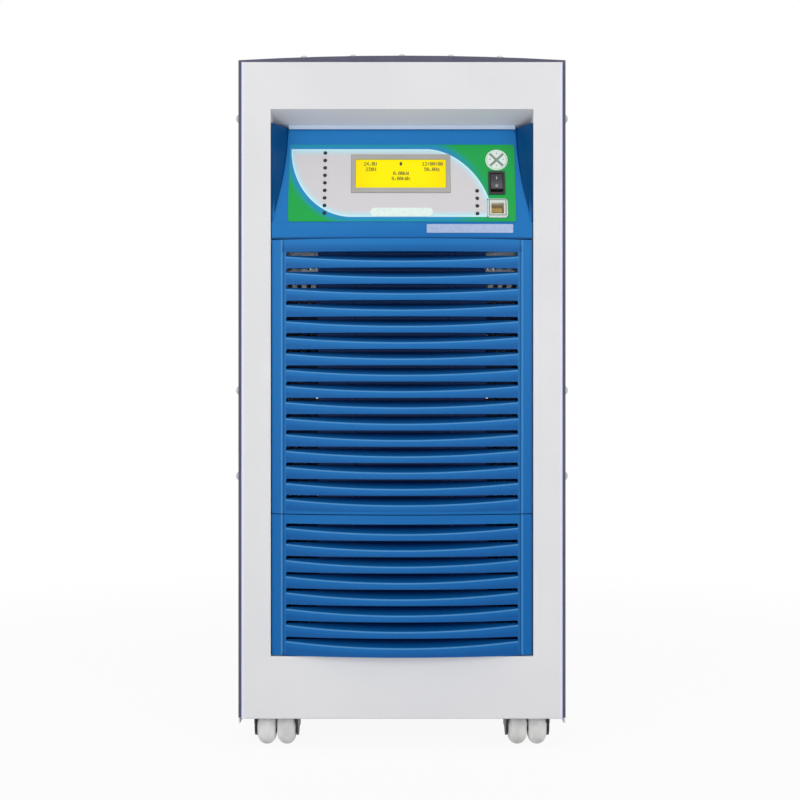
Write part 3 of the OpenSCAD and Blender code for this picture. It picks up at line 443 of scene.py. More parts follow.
softened("front_gasket", finish("seal_rubber", seal_rubber), 0.3, 1)
dress(zinc, "component_deck")
low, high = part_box("vent_screen")
punched, (points, width, height, thick, pitch) = growth("punched_sheet", ["Width", "Height", "Thick", "Pitch"])
across = points.math("ROUND", width / pitch) + 1.0
along = points.math("ROUND", height / pitch) + 1.0
sheet = points.grow("MeshGrid", {0: width, 1: height, 2: across, 3: along})
ringed = sheet.grow("ExtrudeMesh", {"Mesh": sheet, "Offset Scale": 0.0, "Individual": True})
top = Wire(punched, ringed.socket.node.outputs["Top"])
shrunk = sheet.grow("ScaleElements", {"Geometry": ringed, "Selection": top, "Scale": 0.62})
open_sheet = sheet.node("GeometryNodeDeleteGeometry", {"domain": "FACE"}, {"Geometry": shrunk, "Selection": top})
merged = sheet.grow("MergeByDistance", {"Geometry": open_sheet, "Distance": 0.00001})
rounded = sheet.node("GeometryNodeSubdivisionSurface", {"boundary_smooth": "PRESERVE_CORNERS"},
                     {"Mesh": merged, "Level": 1})
raised = sheet.grow("ExtrudeMesh", {"Mesh": rounded, "Offset Scale": thick, "Individual": False})
back = sheet.grow("FlipFaces", {"Mesh": rounded})
both = sheet.grow("JoinGeometry", {0: [raised, back]})
closed = sheet.grow("MergeByDistance", {"Geometry": both, "Distance": 0.00001})


def shaded_zinc(wire):
    x, y, z = wire.axes()
    sockets = plated(rgb(214, 218, 226))(wire)
    # Painted shade: the screen goes dark navy below 436 to 456 mm, where it lies in the lower slots' shadow.
    sockets["Base Color"] = z.ramp(436.0, 456.0).tint(rgb(30, 42, 72), sockets["Base Color"])
    return sockets


close_growth(punched, closed, finish("screen_zinc_painted_shade", shaded_zinc))
screen = grown("punched_screen", punched, {"Width": high.x - low.x, "Height": high.z - low.z,
                                           "Thick": high.y - low.y, "Pitch": 0.0092})
centre = middle("vent_screen")
screen.data.transform(Matrix.Translation((centre.x, high.y, centre.z)) @ Matrix.Rotation(math.pi / 2, 4, "X"))
hand_over(screen, None, ["vent_screen"])

# ---- Blue fascia ----
# Three injection mouldings in one blue plastic clip into the frame: a control bay whose face leans back between
# splayed cheeks, above two louvre panels whose bowed front is cut by round-ended slots.


def fascia_plastic(palest, deepest):
    """Blue moulding, deeper towards the foot, with painted highlights on the creases and slat lips,
    and painted shade in the splay, beside the creases, down the slats, at the seam and in the slots.
    """
    def paint(wire):
        x, y, z = wire.axes()
        flow = wire.noise(5.0, 2.0, (1.0, 1.0, 0.4))
        grain = wire.noise(1300.0, 2.0)
        deep = z.ramp(face_top, tray_low, 0.0, 0.75)
        colour = (flow.ramp(0.35, 0.65, 0.0, 0.2) + deep).tint(palest, deepest)
        crease = x.abs() - bow_half
        # Painted highlight: a pale line along the side-band crease of the louvre panels.
        wear_and_painted_highlight = crease.abs().ramp(0.35, 1.3, 1.0, 0.0) * 0.5
        # Painted shade: a dark line just inside the crease, where its step would be in shadow.
        painted_crease_shade = (crease + 1.6).abs().ramp(0.4, 1.3, 1.0, 0.0) * (z < louvre_top) * 0.55
        # Painted shade: the splay beside the cheeks goes navy.
        splay = (x.abs() - (cheek_z - z) * cheek_slope).ramp(cheek_x, cheek_x + 3.2) * z.ramp(515.0, 530.0)
        colour = (splay * (z > louvre_top + 10)).tint(colour, navy)
        # Painted shadow: a dark band at the foot of the fascia strip, above its seam with the louvre panel.
        joint = ((z > louvre_top) * z.ramp(louvre_top + 1.4, louvre_top + 3.2, 1.0, 0.0)) * 0.8
        colour = (wear_and_painted_highlight * (z < louvre_top)).tint(colour, rgb(92, 160, 214))
        below_roof = wire.math("MODULO", first_roof + (z > joint_z) * roof_step - z, slot_pitch)
        below_lip = below_roof - lip_drop - (front_mm + lip_back - y) * roof_slope
        reach = wire.math("SQRT", x * x + (y - bow_centre) * (y - bow_centre))
        inward = bow_radius - reach
        slotted = (x.abs() < fascia_half - slot_in) * (z < first_roof + roof_step) * (z > last_roof)
        slat = slotted * (inward < skin) * (below_lip > -0.8)
        # Painted highlight: a pale line along each slat's lip.
        colour = (slat * below_lip.ramp(-0.2, 1.6, 1.0, 0.0) * 0.5).tint(colour, rgb(112, 178, 226))
        # Painted shade: each slat darkens down from its lip.
        colour = (slat * below_lip.ramp(1.5, 7.5) * 0.5).tint(colour, shade_blue)
        # Painted shade: the strip under the louvre top darkens downwards, and the foot below the last slot goes dark.
        brow = (z > first_roof + roof_step) * z.ramp(louvre_top - 11.0, louvre_top - 2.0, 0.55, 0.0)
        shaded = wire.math("MAXIMUM", brow * (z < louvre_top), (z < last_roof) * 0.5)
        shaded = shaded * (inward < skin) * (x.abs() < bow_half)
        colour = shaded.tint(colour, shade_blue)
        # Painted shade: surfaces behind the bowed skin darken towards navy with depth, inside the slots.
        inside = (inward > skin) * (z < louvre_top) * (x.abs() < fascia_half - 12.0)
        colour = (inside * inward.ramp(skin, 15.0, 0.16, 0.84)).tint(colour, rgb(0, 24, 92))
        # Painted shade beside the crease and painted shadow at the seam, both in dark blue.
        colour = wire.math("MAXIMUM", painted_crease_shade, joint).tint(colour, rgb(0, 62, 112))
        return grain.skin(colour, 0.4, 0.5, 0.00003) | {"IOR": 1.25}
    return paint


face_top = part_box("control_fascia")[1].z / MM
louvre_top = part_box("upper_louvre_panel")[1].z / MM
fascia_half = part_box("upper_louvre_panel")[1].x / MM
tray_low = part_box("lower_louvre_panel")[0].z / MM
joint_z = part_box("lower_louvre_panel")[1].z / MM
slot_pitch, slot_in, roof_slope, lip_drop, lip_back = 15.7, 14.5, 0.445, 3.0, 4.1
first_roof, last_roof = joint_z - 8.6, tray_low + 2.6
roof_step = louvre_top - 12.2 - first_roof
bow_rise, bow_half = 12.0, fascia_half - 10.5
bow_radius = (bow_half ** 2 + bow_rise ** 2) / (2 * bow_rise)
bow_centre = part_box("upper_louvre_panel")[0].y / MM + bow_radius
cheek_x, cheek_z, cheek_slope, skin = 111.8, 600.0, 0.17, 0.9
navy, shade_blue = rgb(0, 72, 128), rgb(0, 66, 132)
blue = finish("blue_moulding", fascia_plastic(rgb(34, 119, 187), rgb(0, 94, 164)))
softened("control_fascia", blue, 0.4, 2, melt=False)
softened("upper_louvre_panel", blue, 0.45, 2)
softened("lower_louvre_panel", blue, 0.45, 2)

# The cheeks are skins that sweep from the side wall on to the face, wider towards the top. Their navy copy of the
# blue moulding is painted shade.
joints = {joint["name"]: joint for joint in frame["joints"]}
face_out = -Vector(joints["key_up_press"]["axis"]).normalized()
face_right = Vector((1, 0, 0))
face_up = face_out.cross(face_right)


def lean(node, lift=0.0):
    """Axes on the leaning face: right, up and out, from the middle of a node's front surface."""
    centre = middle(node)
    front = max(face_out.dot(vertex.co) for vertex in frame["nodes"][node].data.vertices)
    origin = centre + face_out * (front - face_out.dot(centre) + lift * MM)
    turn = Matrix((face_right, face_up, face_out)).transposed().to_4x4()
    return Matrix.Translation(origin) @ turn


def swept_cheek(side, rows=24, columns=6):
    film = lean("control_overlay", -0.5)
    foot_drop, top_drop, splay, sink = 0.0400, 0.0592, 0.0142, 0.0004
    foot_z, top_z = film.translation.z - foot_drop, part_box("front_frame")[1].z - top_drop
    edge_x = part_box("control_fascia")[1].x - 0.0005
    build = bmesh.new()
    grid = []
    for i in range(rows + 1):
        share = i / rows
        z = foot_z + share * (top_z - foot_z)
        plane_y = film.translation.y + (z - film.translation.z) * face_up.y / face_up.z
        reach = splay * (1 - (1 - share) ** 2) + 0.0002
        edge_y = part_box("front_frame")[0].y + 0.0008
        row = []
        for j in range(columns + 1):
            t = j / columns
            blend = t + 0.10 * math.sin(math.pi * t)
            row.append((side * (edge_x - reach * t), edge_y + (plane_y + sink - edge_y) * blend, z))
        grid.append([build.verts.new(point) for point in row])
    for i in range(rows):
        for j in range(columns):
            build.faces.new((grid[i][j], grid[i][j + 1], grid[i + 1][j + 1], grid[i + 1][j]))
    bmesh.ops.recalc_face_normals(build, faces=build.faces)
    if build.faces[0].normal.y > 0:
        bmesh.ops.reverse_faces(build, faces=build.faces)
    obj = built("cheek", build)
    wall = obj.modifiers.new("Wall", "SOLIDIFY")
    wall.thickness, wall.offset = 0.0004, -1.0
    return fixed_mesh(obj)


cheeks = joined("bay_cheeks", [swept_cheek(-1), swept_cheek(1)])
# Painted shade: the cheeks take a navy copy of the blue moulding.
add_to("control_fascia", cheeks, finish("cheek_moulding_painted_shade", fascia_plastic(navy, rgb(0, 60, 110))))


# ---- Screws ----
# Zinc-plated pan-head screws, M4 by 8 mm, hold the shell to the frame's flanges and the castor plates to the tray.
# Each head is domed, with a cross recess for the driver.


def islands(node):
    """The separate solids of a CAD node, each as a list of points."""
    build = bmesh.new()
    build.from_mesh(frame["nodes"][node].data)
    bmesh.ops.remove_doubles(build, verts=build.verts, dist=2e-6)
    seen, groups = set(), []
    for start in build.verts:
        if start in seen:
            continue
        seen.add(start)
        group, waiting = [], [start]
        while waiting:
            vertex = waiting.pop()
            group.append(vertex.co.copy())
            for edge in vertex.link_edges:
                other = edge.other_vert(vertex)
                if other not in seen:
                    seen.add(other)
                    waiting.append(other)
        groups.append(group)
    build.free()
    return groups


def spread(points):
    """Lowest and highest corner of some points."""
    return (Vector([min(point[i] for point in points) for i in range(3)]),
            Vector([max(point[i] for point in points) for i in range(3)]))


head_r, head_h, shank_r, wide_r = 3.2, 3.6, 2.0, 2.6
seats, ways, lengths = [], [], []
for group in islands("cabinet_screws"):
    low, high = spread(group)
    core = (low + high) / 2
    along = max(range(3), key=lambda i: high[i] - low[i])
    others = [i for i in range(3) if i != along]
    head = [point for point in group if math.hypot(*(point[i] - core[i] for i in others)) > wide_r * MM]
    side = 1 if sum(point[along] for point in head) / len(head) > core[along] else -1
    seat = core.copy()
    seat[along] = (high if side > 0 else low)[along] - side * head_h * MM
    way = Vector((0, 0, 0))
    way[along] = side
    seats.append(seat)
    ways.append(way)
    lengths.append(high[along] - low[along] - head_h * MM)

screw_tree, (points, radius, height, shank, unit) = growth("pan_head_screw", ["Radius", "Height", "Shank", "Unit"])
way = points.node("GeometryNodeInputNamedAttribute", {"data_type": "FLOAT_VECTOR"}, {0: "way"})
length = points.node("GeometryNodeInputNamedAttribute", {"data_type": "FLOAT"}, {0: "length"})
turn = points.node("FunctionNodeAlignRotationToVector", {"axis": "Z"}, {"Vector": way})


disc = points.bar(32, radius, height)
ball = points.grow("MeshUVSphere", {"Segments": 32, "Rings": 18, "Radius": radius * 1.5625})
solid = points.grow("MeshBoolean", {"Mesh 2": [disc.shifted(points.triple(z=height * 0.5)),
                                               ball.shifted(points.triple(z=height - radius * 1.5625))]},
                    {"operation": "INTERSECT"})
slots = [points.grow("MeshCube", {0: points.triple(a, b, height)}).shifted(points.triple(z=height))
         for a, b in ((radius * 1.15, radius * 0.26), (radius * 0.26, radius * 1.15))]
cross = points.grow("MeshBoolean", {"Mesh 1": solid, "Mesh 2": slots})
rod = points.bar(20, shank, unit)
rod = rod.shifted(points.triple(z=unit * -0.5))
heads = points.bearing(cross, {"Rotation": turn})
rods = points.bearing(rod, {"Rotation": turn, "Scale": points.triple(1.0, 1.0, length / unit)})
close_growth(screw_tree, points.grow("JoinGeometry", {0: [heads, rods]}), zinc)
screws = grown("pan_head_screws", screw_tree,
               {"Radius": head_r * MM, "Height": head_h * MM, "Shank": shank_r * MM, "Unit": 0.007},
               seats, {"way": ways, "length": lengths})
hand_over(screws, None, ["cabinet_screws"])


# ---- Printed overlay ----
# A polycarbonate film printed on its back and glued to the leaning control face: a pale leaf with a light
# outline on green, with blue-green where they meet. It is cut out round each control.


def printed_film(wire):
    x, y, z = wire.axes()
    u, v = x - film_left, (z - film_low) * (film_high / (film_top - film_low))

    def past(distance, span, power):
        """How far the leaf's rounded corner is passed, as a share of its span to a power."""
        return wire.math("POWER", wire.math("MAXIMUM", distance, 0.0) * (1 / span), power)

    right = past(u - 136.0, 63.0, 1.8) + past(v - 5.0, 72.0, 1.8)
    left = past(62.0 - u, 60.0, 2.0) + past(77.0 - v, 72.0, 2.0)
    edge = wire.math("MAXIMUM", right, left)
    meeting = edge.ramp(1.0, 1.3, 1.0, 0.0) * u.ramp(150.0, 195.0, 1.0, 0.12)
    ground = (meeting + wire.noise(20.0, 2.0) * 0.05).tint(rgb(14, 160, 62), rgb(24, 136, 190))
    leaf = edge.ramp(0.8, 0.97).tint(rgb(208, 205, 208), rgb(186, 224, 234))
    leaf = edge.ramp(0.955, 0.975).tint(leaf, rgb(204, 238, 246))
    colour = edge.ramp(0.99, 1.01).tint(leaf, ground)
    fine = wire.noise(2200.0, 2.0)
    return fine.skin(colour, 0.3, 0.42, 0.00001) | {"IOR": 1.36}


low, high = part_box("control_overlay")
film_left, film_low, film_top, film_high = low.x / MM, low.z / MM, high.z / MM, 82.0
dress(finish("printed_film", printed_film), "control_overlay")


# ---- Indicator lights ----
# Thirteen 3 mm lights stand on the control board, nine at the left and four at the right. Each smoked lens comes
# through the overlay in a black clip ring.

face = lean("control_overlay")
to_face = face.inverted()
light_places = []
for group in islands("indicator_lights"):
    low, high = spread([to_face @ point for point in group])
    light_places.append(((low.x + high.x) / 2, (low.y + high.y) / 2, 0.0))
lens_tree, (points, lens_r, clip_r, clip_wire, leg) = growth("indicator_lens", ["Lens", "Clip", "Wire", "Leg"])
dome = points.grow("MeshUVSphere", {"Segments": 24, "Rings": 14, "Radius": lens_r})
stalk = points.bar(24, lens_r, leg)
stalk = stalk.shifted(points.triple(z=leg * -0.5))
clip = points.grow("CurveToMesh", {"Curve": points.ring(28, clip_r), "Profile Curve": points.ring(10, clip_wire)})
lamp_set = points.grow("JoinGeometry", {0: [dome, stalk, clip]})
smoked = finish("smoked_lens", moulded(rgb(26, 20, 24), 0.16, 900.0, 0.00001))
close_growth(lens_tree, points.bearing(lamp_set), smoked)
lights = grown("indicator_lenses", lens_tree, {"Lens": 0.0015, "Clip": 0.00165, "Wire": 0.00028, "Leg": 0.0144},
               light_places)
lights.data.transform(face)
hand_over(lights, None, ["indicator_lights"])

# ---- Display ----
# A yellow back-lit liquid crystal panel behind a grey moulded bezel. Its dark dots form plain readings in rows of
# small characters, each five dots wide and seven high.

DOTS = {"0": "0E11191513110E", "1": "040C040404040E", "2": "0E11010204081F", "3": "1F02040201110E",
        "4": "02060A121F0202", "5": "1F101E0101110E", "6": "0608101E11110E", "7": "1F010204080808",
        "8": "0E11110E11110E", "9": "0E11110F01020C", ".": "00000000000C0C", ":": "000C0C000C0C00",
        "V": "1111111111110A", "k": "10101214181412", "W": "11111115151B11", "h": "10101619111111",
        "H": "1111111F111111", "z": "00001F0204081F", "#": "0E1F1F1F1F1F0E"}


def reading(rows, dot=(0.43, 0.55), bold=0.17):
    """Runs of dots, as flat plates, for rows of (text, middle u, middle v) on a plane in millimetres."""
    build = bmesh.new()
    for text, middle_u, middle_v in rows:
        left = middle_u - (6 * len(text) - 1) * dot[0] / 2
        for place, sign in enumerate(text):
            for row in range(7):
                bits = format(int(DOTS[sign][2 * row:2 * row + 2], 16), "05b")
                column = 0
                while "1" in bits[column:]:
                    first = bits.index("1", column)
                    column = (bits + "0").index("0", first)
                    u, v = left + (6 * place + first) * dot[0], middle_v + (3 - row) * dot[1]
                    end = u + (column - first) * dot[0] + bold
                    corners = [(u, v), (end, v), (end, v + dot[1]), (u, v + dot[1])]
                    build.faces.new([build.verts.new((a * MM, b * MM, 0)) for a, b in corners])
    obj = built("display_reading", build, False)
    thick = obj.modifiers.new("Thickness", "SOLIDIFY")
    thick.thickness, thick.offset = 0.02 * MM, 1.0
    return fixed_mesh(obj)


def lit_panel(wire):
    x, y, z = wire.axes()
    centre = x + 1.2
    glow = centre.abs().ramp(20.0, 46.0, 0.0, 0.5)
    colour = glow.tint(rgb(255, 236, 0), rgb(244, 214, 6))
    cell = wire.noise(1800.0, 1.0)
    glass = {"Emission Color": colour, "Emission Strength": 0.04, "IOR": 1.25}
    return cell.skin(colour, 0.18, 0.26, 0.000004) | glass


softened("display_bezel", plastic("bezel_grey", (168, 166, 160), 0.4), 0.25, 2)
dress(finish("lit_display", lit_panel), "display_panel")
rows = [("24.0V", -30.0, 10.3), ("#", 0.0, 10.3), ("12:00:00", 31.0, 10.3), ("230V", -29.5, 4.4),
        ("50.0Hz", 30.5, 4.4), ("0.00kW", 0.0, 0.2), ("0.00kWh", 0.0, -5.4)]
digits = reading(rows)
digits.data.transform(lean("display_panel", 0.01))
add_to("display_panel", digits, plastic("dark_crystal", (14, 15, 6), 0.5))

# ---- Keypad ----
# A white moulded ring with a cross, its face flush with four quarter-round keys that press in against the switches
# on the control board. A small moulded arrow on each key points away from the middle.


def face_places(wire, centre):
    """Millimetres to the right of, above and in front of a point on the leaning face."""
    local = wire.node("VectorMath", {"operation": "SUBTRACT"}, {0: wire.node("TexCoord", output=3), 1: tuple(centre)})
    return [wire.node("VectorMath", {"operation": "DOT_PRODUCT"}, {0: local, 1: tuple(way)}, 1) * 1000.0
            for way in (face_right, face_up, face_out)]


def ring_plastic(wire):
    u, v, depth = face_places(wire, keypad.translation)
    inner = (u * u + v * v) < 9.2 ** 2
    grain = wire.noise(1500.0, 2.0)
    return grain.skin(inner.tint(rgb(222, 238, 226), rgb(128, 146, 136)), 0.34, 0.46, 0.00003)


def flat_piece(name, outlines, place, thick=0.03):
    """Thin plates with the given outlines in millimetres, laid on a plane."""
    build = bmesh.new()
    for outline in outlines:
        build.faces.new([build.verts.new((u * MM, v * MM, 0)) for u, v in outline])
    bmesh.ops.remove_doubles(build, verts=build.verts, dist=1e-7)
    bmesh.ops.recalc_face_normals(build, faces=build.faces)
    for item in build.faces:
        if item.normal.z < 0:
            item.normal_flip()
    obj = built(name, build, False)
    wall = obj.modifiers.new("Thickness", "SOLIDIFY")
    wall.thickness, wall.offset = thick * MM, 1.0
    fixed_mesh(obj)
    obj.data.transform(place)
    return obj


keypad = lean("keypad_ring")
key_white = plastic("key_white", (226, 240, 230), 0.32)
mark_grey = plastic("mark_grey", (96, 112, 104), 0.4)
softened("keypad_ring", finish("ring_white", ring_plastic), 0.3, 3, 30.0)
for turn, side in enumerate(("up", "left", "down", "right")):
    softened("key_" + side, key_white, 0.3, 3, 30.0)
    top = max(face_out.dot(vertex.co) for vertex in frame["nodes"]["key_" + side].data.vertices)
    surface = Matrix.Translation(face_out * (top - face_out.dot(keypad.translation))) @ keypad
    arrow = flat_piece("arrow_" + side, [[(-0.85, 6.0), (0.85, 6.0), (0, 7.3)]],
                       surface @ Matrix.Rotation(turn * math.pi / 2, 4, "Z"))
    add_to("key_" + side, arrow, mark_grey)

# ---- Power switch ----
# A black rocker that tilts on two moulded pins in a black frame, which snaps into the face. The rocker carries the
# two usual marks, a stroke for on and a ring for off.

switch_black = plastic("switch_black", (30, 30, 34), 0.3)
softened("switch_housing", switch_black, 0.35, 3)
softened("power_rocker", plastic("rocker_black", (44, 41, 47), 0.26), 0.35, 3)
rest_tilt, wing_length, middle_h, end_h, mark_at = math.radians(-8), 8.4, 5.2, 7.024, 4.4
wing_rise = math.atan2(end_h - middle_h, wing_length)
pin = (Matrix.Translation(joints["power_rocker_tilt"]["pos_m"]) @ face.to_3x3().to_4x4()
       @ Matrix.Rotation(rest_tilt, 4, "X"))


def wing(side):
    """The place of a mark on the rocker's upper (1) or lower (-1) wing."""
    foot = Matrix.Translation((0, side * mark_at * MM, (middle_h + mark_at * math.tan(wing_rise)) * MM))
    return pin @ foot @ Matrix.Rotation(side * wing_rise, 4, "X")


def stroke_mark(half_w, half_l):
    return [[(-half_w, -half_l), (half_w, -half_l), (half_w, half_l), (-half_w, half_l)]]


ring_mark, ring_sides = [], 24
for i in range(ring_sides):
    a, b = math.tau * i / ring_sides, math.tau * (i + 1) / ring_sides
    ring_mark.append([(radius * math.sin(turn), radius * math.cos(turn))
                      for radius, turn in ((1.35, a), (1.35, b), (0.95, b), (0.95, a))])
stroke = flat_piece("stroke", stroke_mark(0.25, 1.3), wing(1))
ring = flat_piece("ring", ring_mark, wing(-1))
mark_white = plastic("mark_white", (236, 238, 240), 0.4)
add_to("power_rocker", joined("switch_marks", [stroke, ring]), mark_white)

# ---- Data port ----
# A square socket in a clear moulded rim, with eight gold-plated spring contacts at the back of its opening.


def clear_rim(wire):
    u, v, depth = face_places(wire, port.translation)
    reach = wire.math("MAXIMUM", u.abs(), v.abs())
    ring = (reach - 8.1).abs() < 0.45
    colour = ring.tint(rgb(204, 212, 206), rgb(112, 128, 122))
    colour = depth.ramp(-6.0, -0.6, 1.0, 0.0).tint(colour, rgb(206, 194, 160))
    cloudy = wire.noise(500.0, 3.0)
    return cloudy.skin(colour, 0.14, 0.3, 0.00002)


port = lean("data_port")
softened("data_port", finish("clear_rim", clear_rim), 0.4, 3, 30.0)
contact_tree, (points, wide, long_side, thick) = growth("port_contacts", ["Wide", "Long", "Thick"])
blade = points.grow("MeshCube", {0: points.triple(wide, long_side, thick)})
close_growth(contact_tree, points.bearing(blade), finish("gold_plate", plated(rgb(240, 200, 120), 0.22)))
contacts = grown("port_contacts", contact_tree, {"Wide": 0.0006, "Long": 0.0052, "Thick": 0.0014},
                 [((i - 3.5) * 1.27 * MM, 0.4 * MM, -8.4 * MM) for i in range(8)])
contacts.data.transform(port)
add_to("data_port", contacts)

# ---- Bare plates ----
# Two thin polycarbonate plates, an oval one below the display and a strip on the upright face, with turned edges
# and nothing printed on them.


def bare_plate(name, centre_u, centre_v, width, height, radius, place, thick):
    outline = []
    for corner in range(4):
        for step in range(9):
            angle = math.pi / 2 * (corner + step / 8)
            sign_u = 1 if corner in (0, 3) else -1
            sign_v = 1 if corner in (0, 1) else -1
            outline.append((centre_u + sign_u * (width / 2 - radius) + radius * math.cos(angle),
                            centre_v + sign_v * (height / 2 - radius) + radius * math.sin(angle)))
    plate = flat_piece(name, [outline], place, thick)
    bevel = plate.modifiers.new("Edges", "BEVEL")
    bevel.width, bevel.segments = thick * 0.3 * MM, 2
    return fixed_mesh(plate)


def plate_film(wire):
    x, y, z = wire.axes()
    cloudy = wire.noise(300.0, 2.0)
    colour = (z > louvre_top + 16.0).tint(rgb(168, 186, 218), rgb(222, 238, 232))
    return cloudy.skin(colour, 0.22, 0.34, 0.00001)


plate_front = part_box("blank_plates")[0].y
upright = Matrix.Translation((0.0, plate_front + 0.35 * MM, 0.0)) @ Matrix.Rotation(math.pi / 2, 4, "X")
strip = bare_plate("strip_plate", 66.0, louvre_top + 10.9, 84.0, 8.5, 1.0, upright, 0.35)
oval = bare_plate("oval_plate", -0.4, -31.1, 61.0, 9.0, 4.4, face @ Matrix.Translation((0, 0, 0.05 * MM)), 0.4)
hand_over(joined("bare_plates", [strip, oval]), finish("plate_film", plate_film), ["blank_plates"])


# ---- Cooling fans ----
# Two 120 mm axial fans blow out through the rear panel. Each is a black moulded frame and rotor behind a guard of
# bright steel wire, rings welded to crossed spokes, with a flattened eye at each corner for its screw.

fan_black = plastic("fan_black", (30, 30, 32), 0.4)
softened("fan_housings", fan_black, 0.6, 2)
for side in ("left", "right"):
    softened("fan_rotor_" + side, plastic("rotor_black_" + side, (22, 22, 24), 0.3), 0.35, 2)


def rearward(place):
    """Turns a mesh's Z to point out of the rear panel, at a place."""
    return Matrix.Translation(place) @ Matrix.Rotation(-math.pi / 2, 4, "X")


guard_tree, (points, rim, inner, wire_r, span, eye_r, eye_t, bolt_r) = growth(
    "fan_guard", ["Rim", "Inner", "Wire", "Span", "Eye", "Eye thickness", "Hole"])
section = points.ring(10, wire_r)
circles = [points.ring(72, inner + (rim - inner) * (step / 4)).swept(section) for step in range(5)]
guard_parts = [circle.shifted(points.triple(z=wire_r * 3)) for circle in circles]
for turn in (math.pi / 4, 3 * math.pi / 4):
    spoke = points.grow("CurvePrimitiveLine", {"Start": points.triple(span * -1.0), "End": points.triple(span)})
    guard_parts.append(spoke.swept(section).shifted(points.triple(z=wire_r * 1.6), (0.0, 0.0, turn)))
eye = points.bar(32, eye_r, eye_t)
bore = points.bar(24, bolt_r, eye_t * 2.0)
eyelet = points.grow("MeshBoolean", {"Mesh 1": eye, "Mesh 2": bore})
for i, j in ((-1, -1), (-1, 1), (1, -1), (1, 1)):
    guard_parts.append(eyelet.shifted(points.triple(rim * i, rim * j, eye_t * 0.58)))
guard = points.grow("JoinGeometry", {0: guard_parts})
close_growth(guard_tree, points.bearing(guard), finish("bright_wire", plated(rgb(214, 216, 220), 0.2)))
fan_x, fan_z = -middle("fan_rotor_left").x, middle("fan_rotor_left").z
rear_face, hole_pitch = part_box("rear_panel")[1].y, 0.0524
guards = grown("fan_guard_wires", guard_tree,
               {"Rim": hole_pitch, "Inner": 0.0120, "Wire": 0.001, "Span": 0.0724, "Eye": 0.005,
                "Eye thickness": 0.0024, "Hole": 0.0021}, [(-fan_x, 0, 0.0002), (fan_x, 0, 0.0002)])
guards.data.transform(rearward((0, rear_face, fan_z)))
hand_over(guards, None, ["fan_guards"])

fan_seats = [Vector((s * fan_x + i * hole_pitch, rear_face + 0.0028, fan_z + j * hole_pitch))
             for s in (-1, 1) for i in (-1, 1) for j in (-1, 1)]
fan_screws = grown("fan_screws", screw_tree,
                   {"Radius": 2.9 * MM, "Height": 2.6 * MM, "Shank": 1.7 * MM, "Unit": 0.007}, fan_seats,
                   {"way": [Vector((0, 1, 0))] * 8, "length": [0.020] * 8})
hand_over(fan_screws, None, [], body_of("fan_guards"))

# ---- Circuit breakers ----
# Three single-pole breakers, for the solar input, the battery and the mains, clip in behind a cut-out with their
# pale moulded noses standing through it. Each has a black lever, and the usual stroke and ring mark its two ends.

softened("breaker_bodies", plastic("breaker_grey", (222, 222, 216), 0.38), 0.4, 2)
marks, mark_rise = [], 17.2 * MM
nose_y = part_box("breaker_bodies")[1].y
facing_rear = Matrix.Rotation(math.pi, 4, "Z") @ Matrix.Rotation(math.pi / 2, 4, "X")
for name in ("solar", "battery", "mains"):
    softened(name + "_breaker_lever", plastic(name + "_lever", (24, 24, 27), 0.28), 0.4, 3, 30.0)
    x, y, z = joints[name + "_breaker_throw"]["pos_m"]
    for kind, outlines, rise in (("stroke", stroke_mark(0.3, 1.6), mark_rise), ("ring", ring_mark, -mark_rise)):
        marks.append(flat_piece(kind, outlines, Matrix.Translation((x, nose_y, z + rise)) @ facing_rear))
add_to("breaker_bodies", joined("breaker_marks", marks), plastic("mark_black", (40, 40, 42), 0.5))

# ---- Cable glands and earth stud ----
# Three black nylon glands, with a hexagon each side of the panel and a ribbed dome nut that would grip a cable, and
# a brass stud with a nut and washer for the earth. No cables are fitted.

softened("cable_glands", hood_nylon, 0.4, 2)
rib_tree, (points, reach, depth, thick, tall) = growth("gland_ribs", ["Reach", "Depth", "Thick", "Tall"])
circle = points.grow("MeshCircle", {"Vertices": 24, "Radius": reach})
rib = points.grow("MeshCube", {0: points.triple(depth, thick, tall)})
ribs = circle.bearing(rib, {"Rotation": points.outward()})
close_growth(rib_tree, points.bearing(ribs), hood_nylon)
glands = [spread(group) for group in islands("cable_glands")]
gland_ribs = grown("gland_ribs", rib_tree, {"Reach": 0.0116, "Depth": 0.0011, "Thick": 0.0009, "Tall": 0.0095},
                   [((low.x + high.x) / 2, 0, 0) for low, high in glands])
gland_z = (glands[0][0].z + glands[0][1].z) / 2
dome_at = 11.2 * MM
gland_ribs.data.transform(rearward((0, rear_face + dome_at, gland_z)))
add_to("cable_glands", gland_ribs)

brass = finish("stud_brass", plated(rgb(216, 182, 104), 0.26))
softened("earth_stud", brass, 0.25, 2)
thread_tree, (points, core, length, pitch, tooth) = growth("stud_thread", ["Core", "Length", "Pitch", "Tooth"])
helix = points.grow("CurveSpiral", {"Resolution": 20, "Rotations": length / pitch, "Start Radius": core,
                                    "End Radius": core, "Height": length})
close_growth(thread_tree, helix.swept(points.ring(6, tooth)), brass)
centre, stud_end, thread_l, tip = middle("earth_stud"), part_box("earth_stud")[1].y, 0.0132, 0.0006
thread = grown("stud_thread", thread_tree, {"Core": 0.00295, "Length": thread_l, "Pitch": 0.001, "Tooth": 0.00027})
thread.data.transform(rearward((centre.x, stud_end - tip - thread_l, centre.z)))
add_to("earth_stud", thread)

# ---- Transformer ----
# Half-millimetre silicon-steel laminations stacked front to back, a copper winding round the middle leg, and
# pressed steel clamps drawn together by four through bolts. It stands on the base tray, where the weight is lowest.


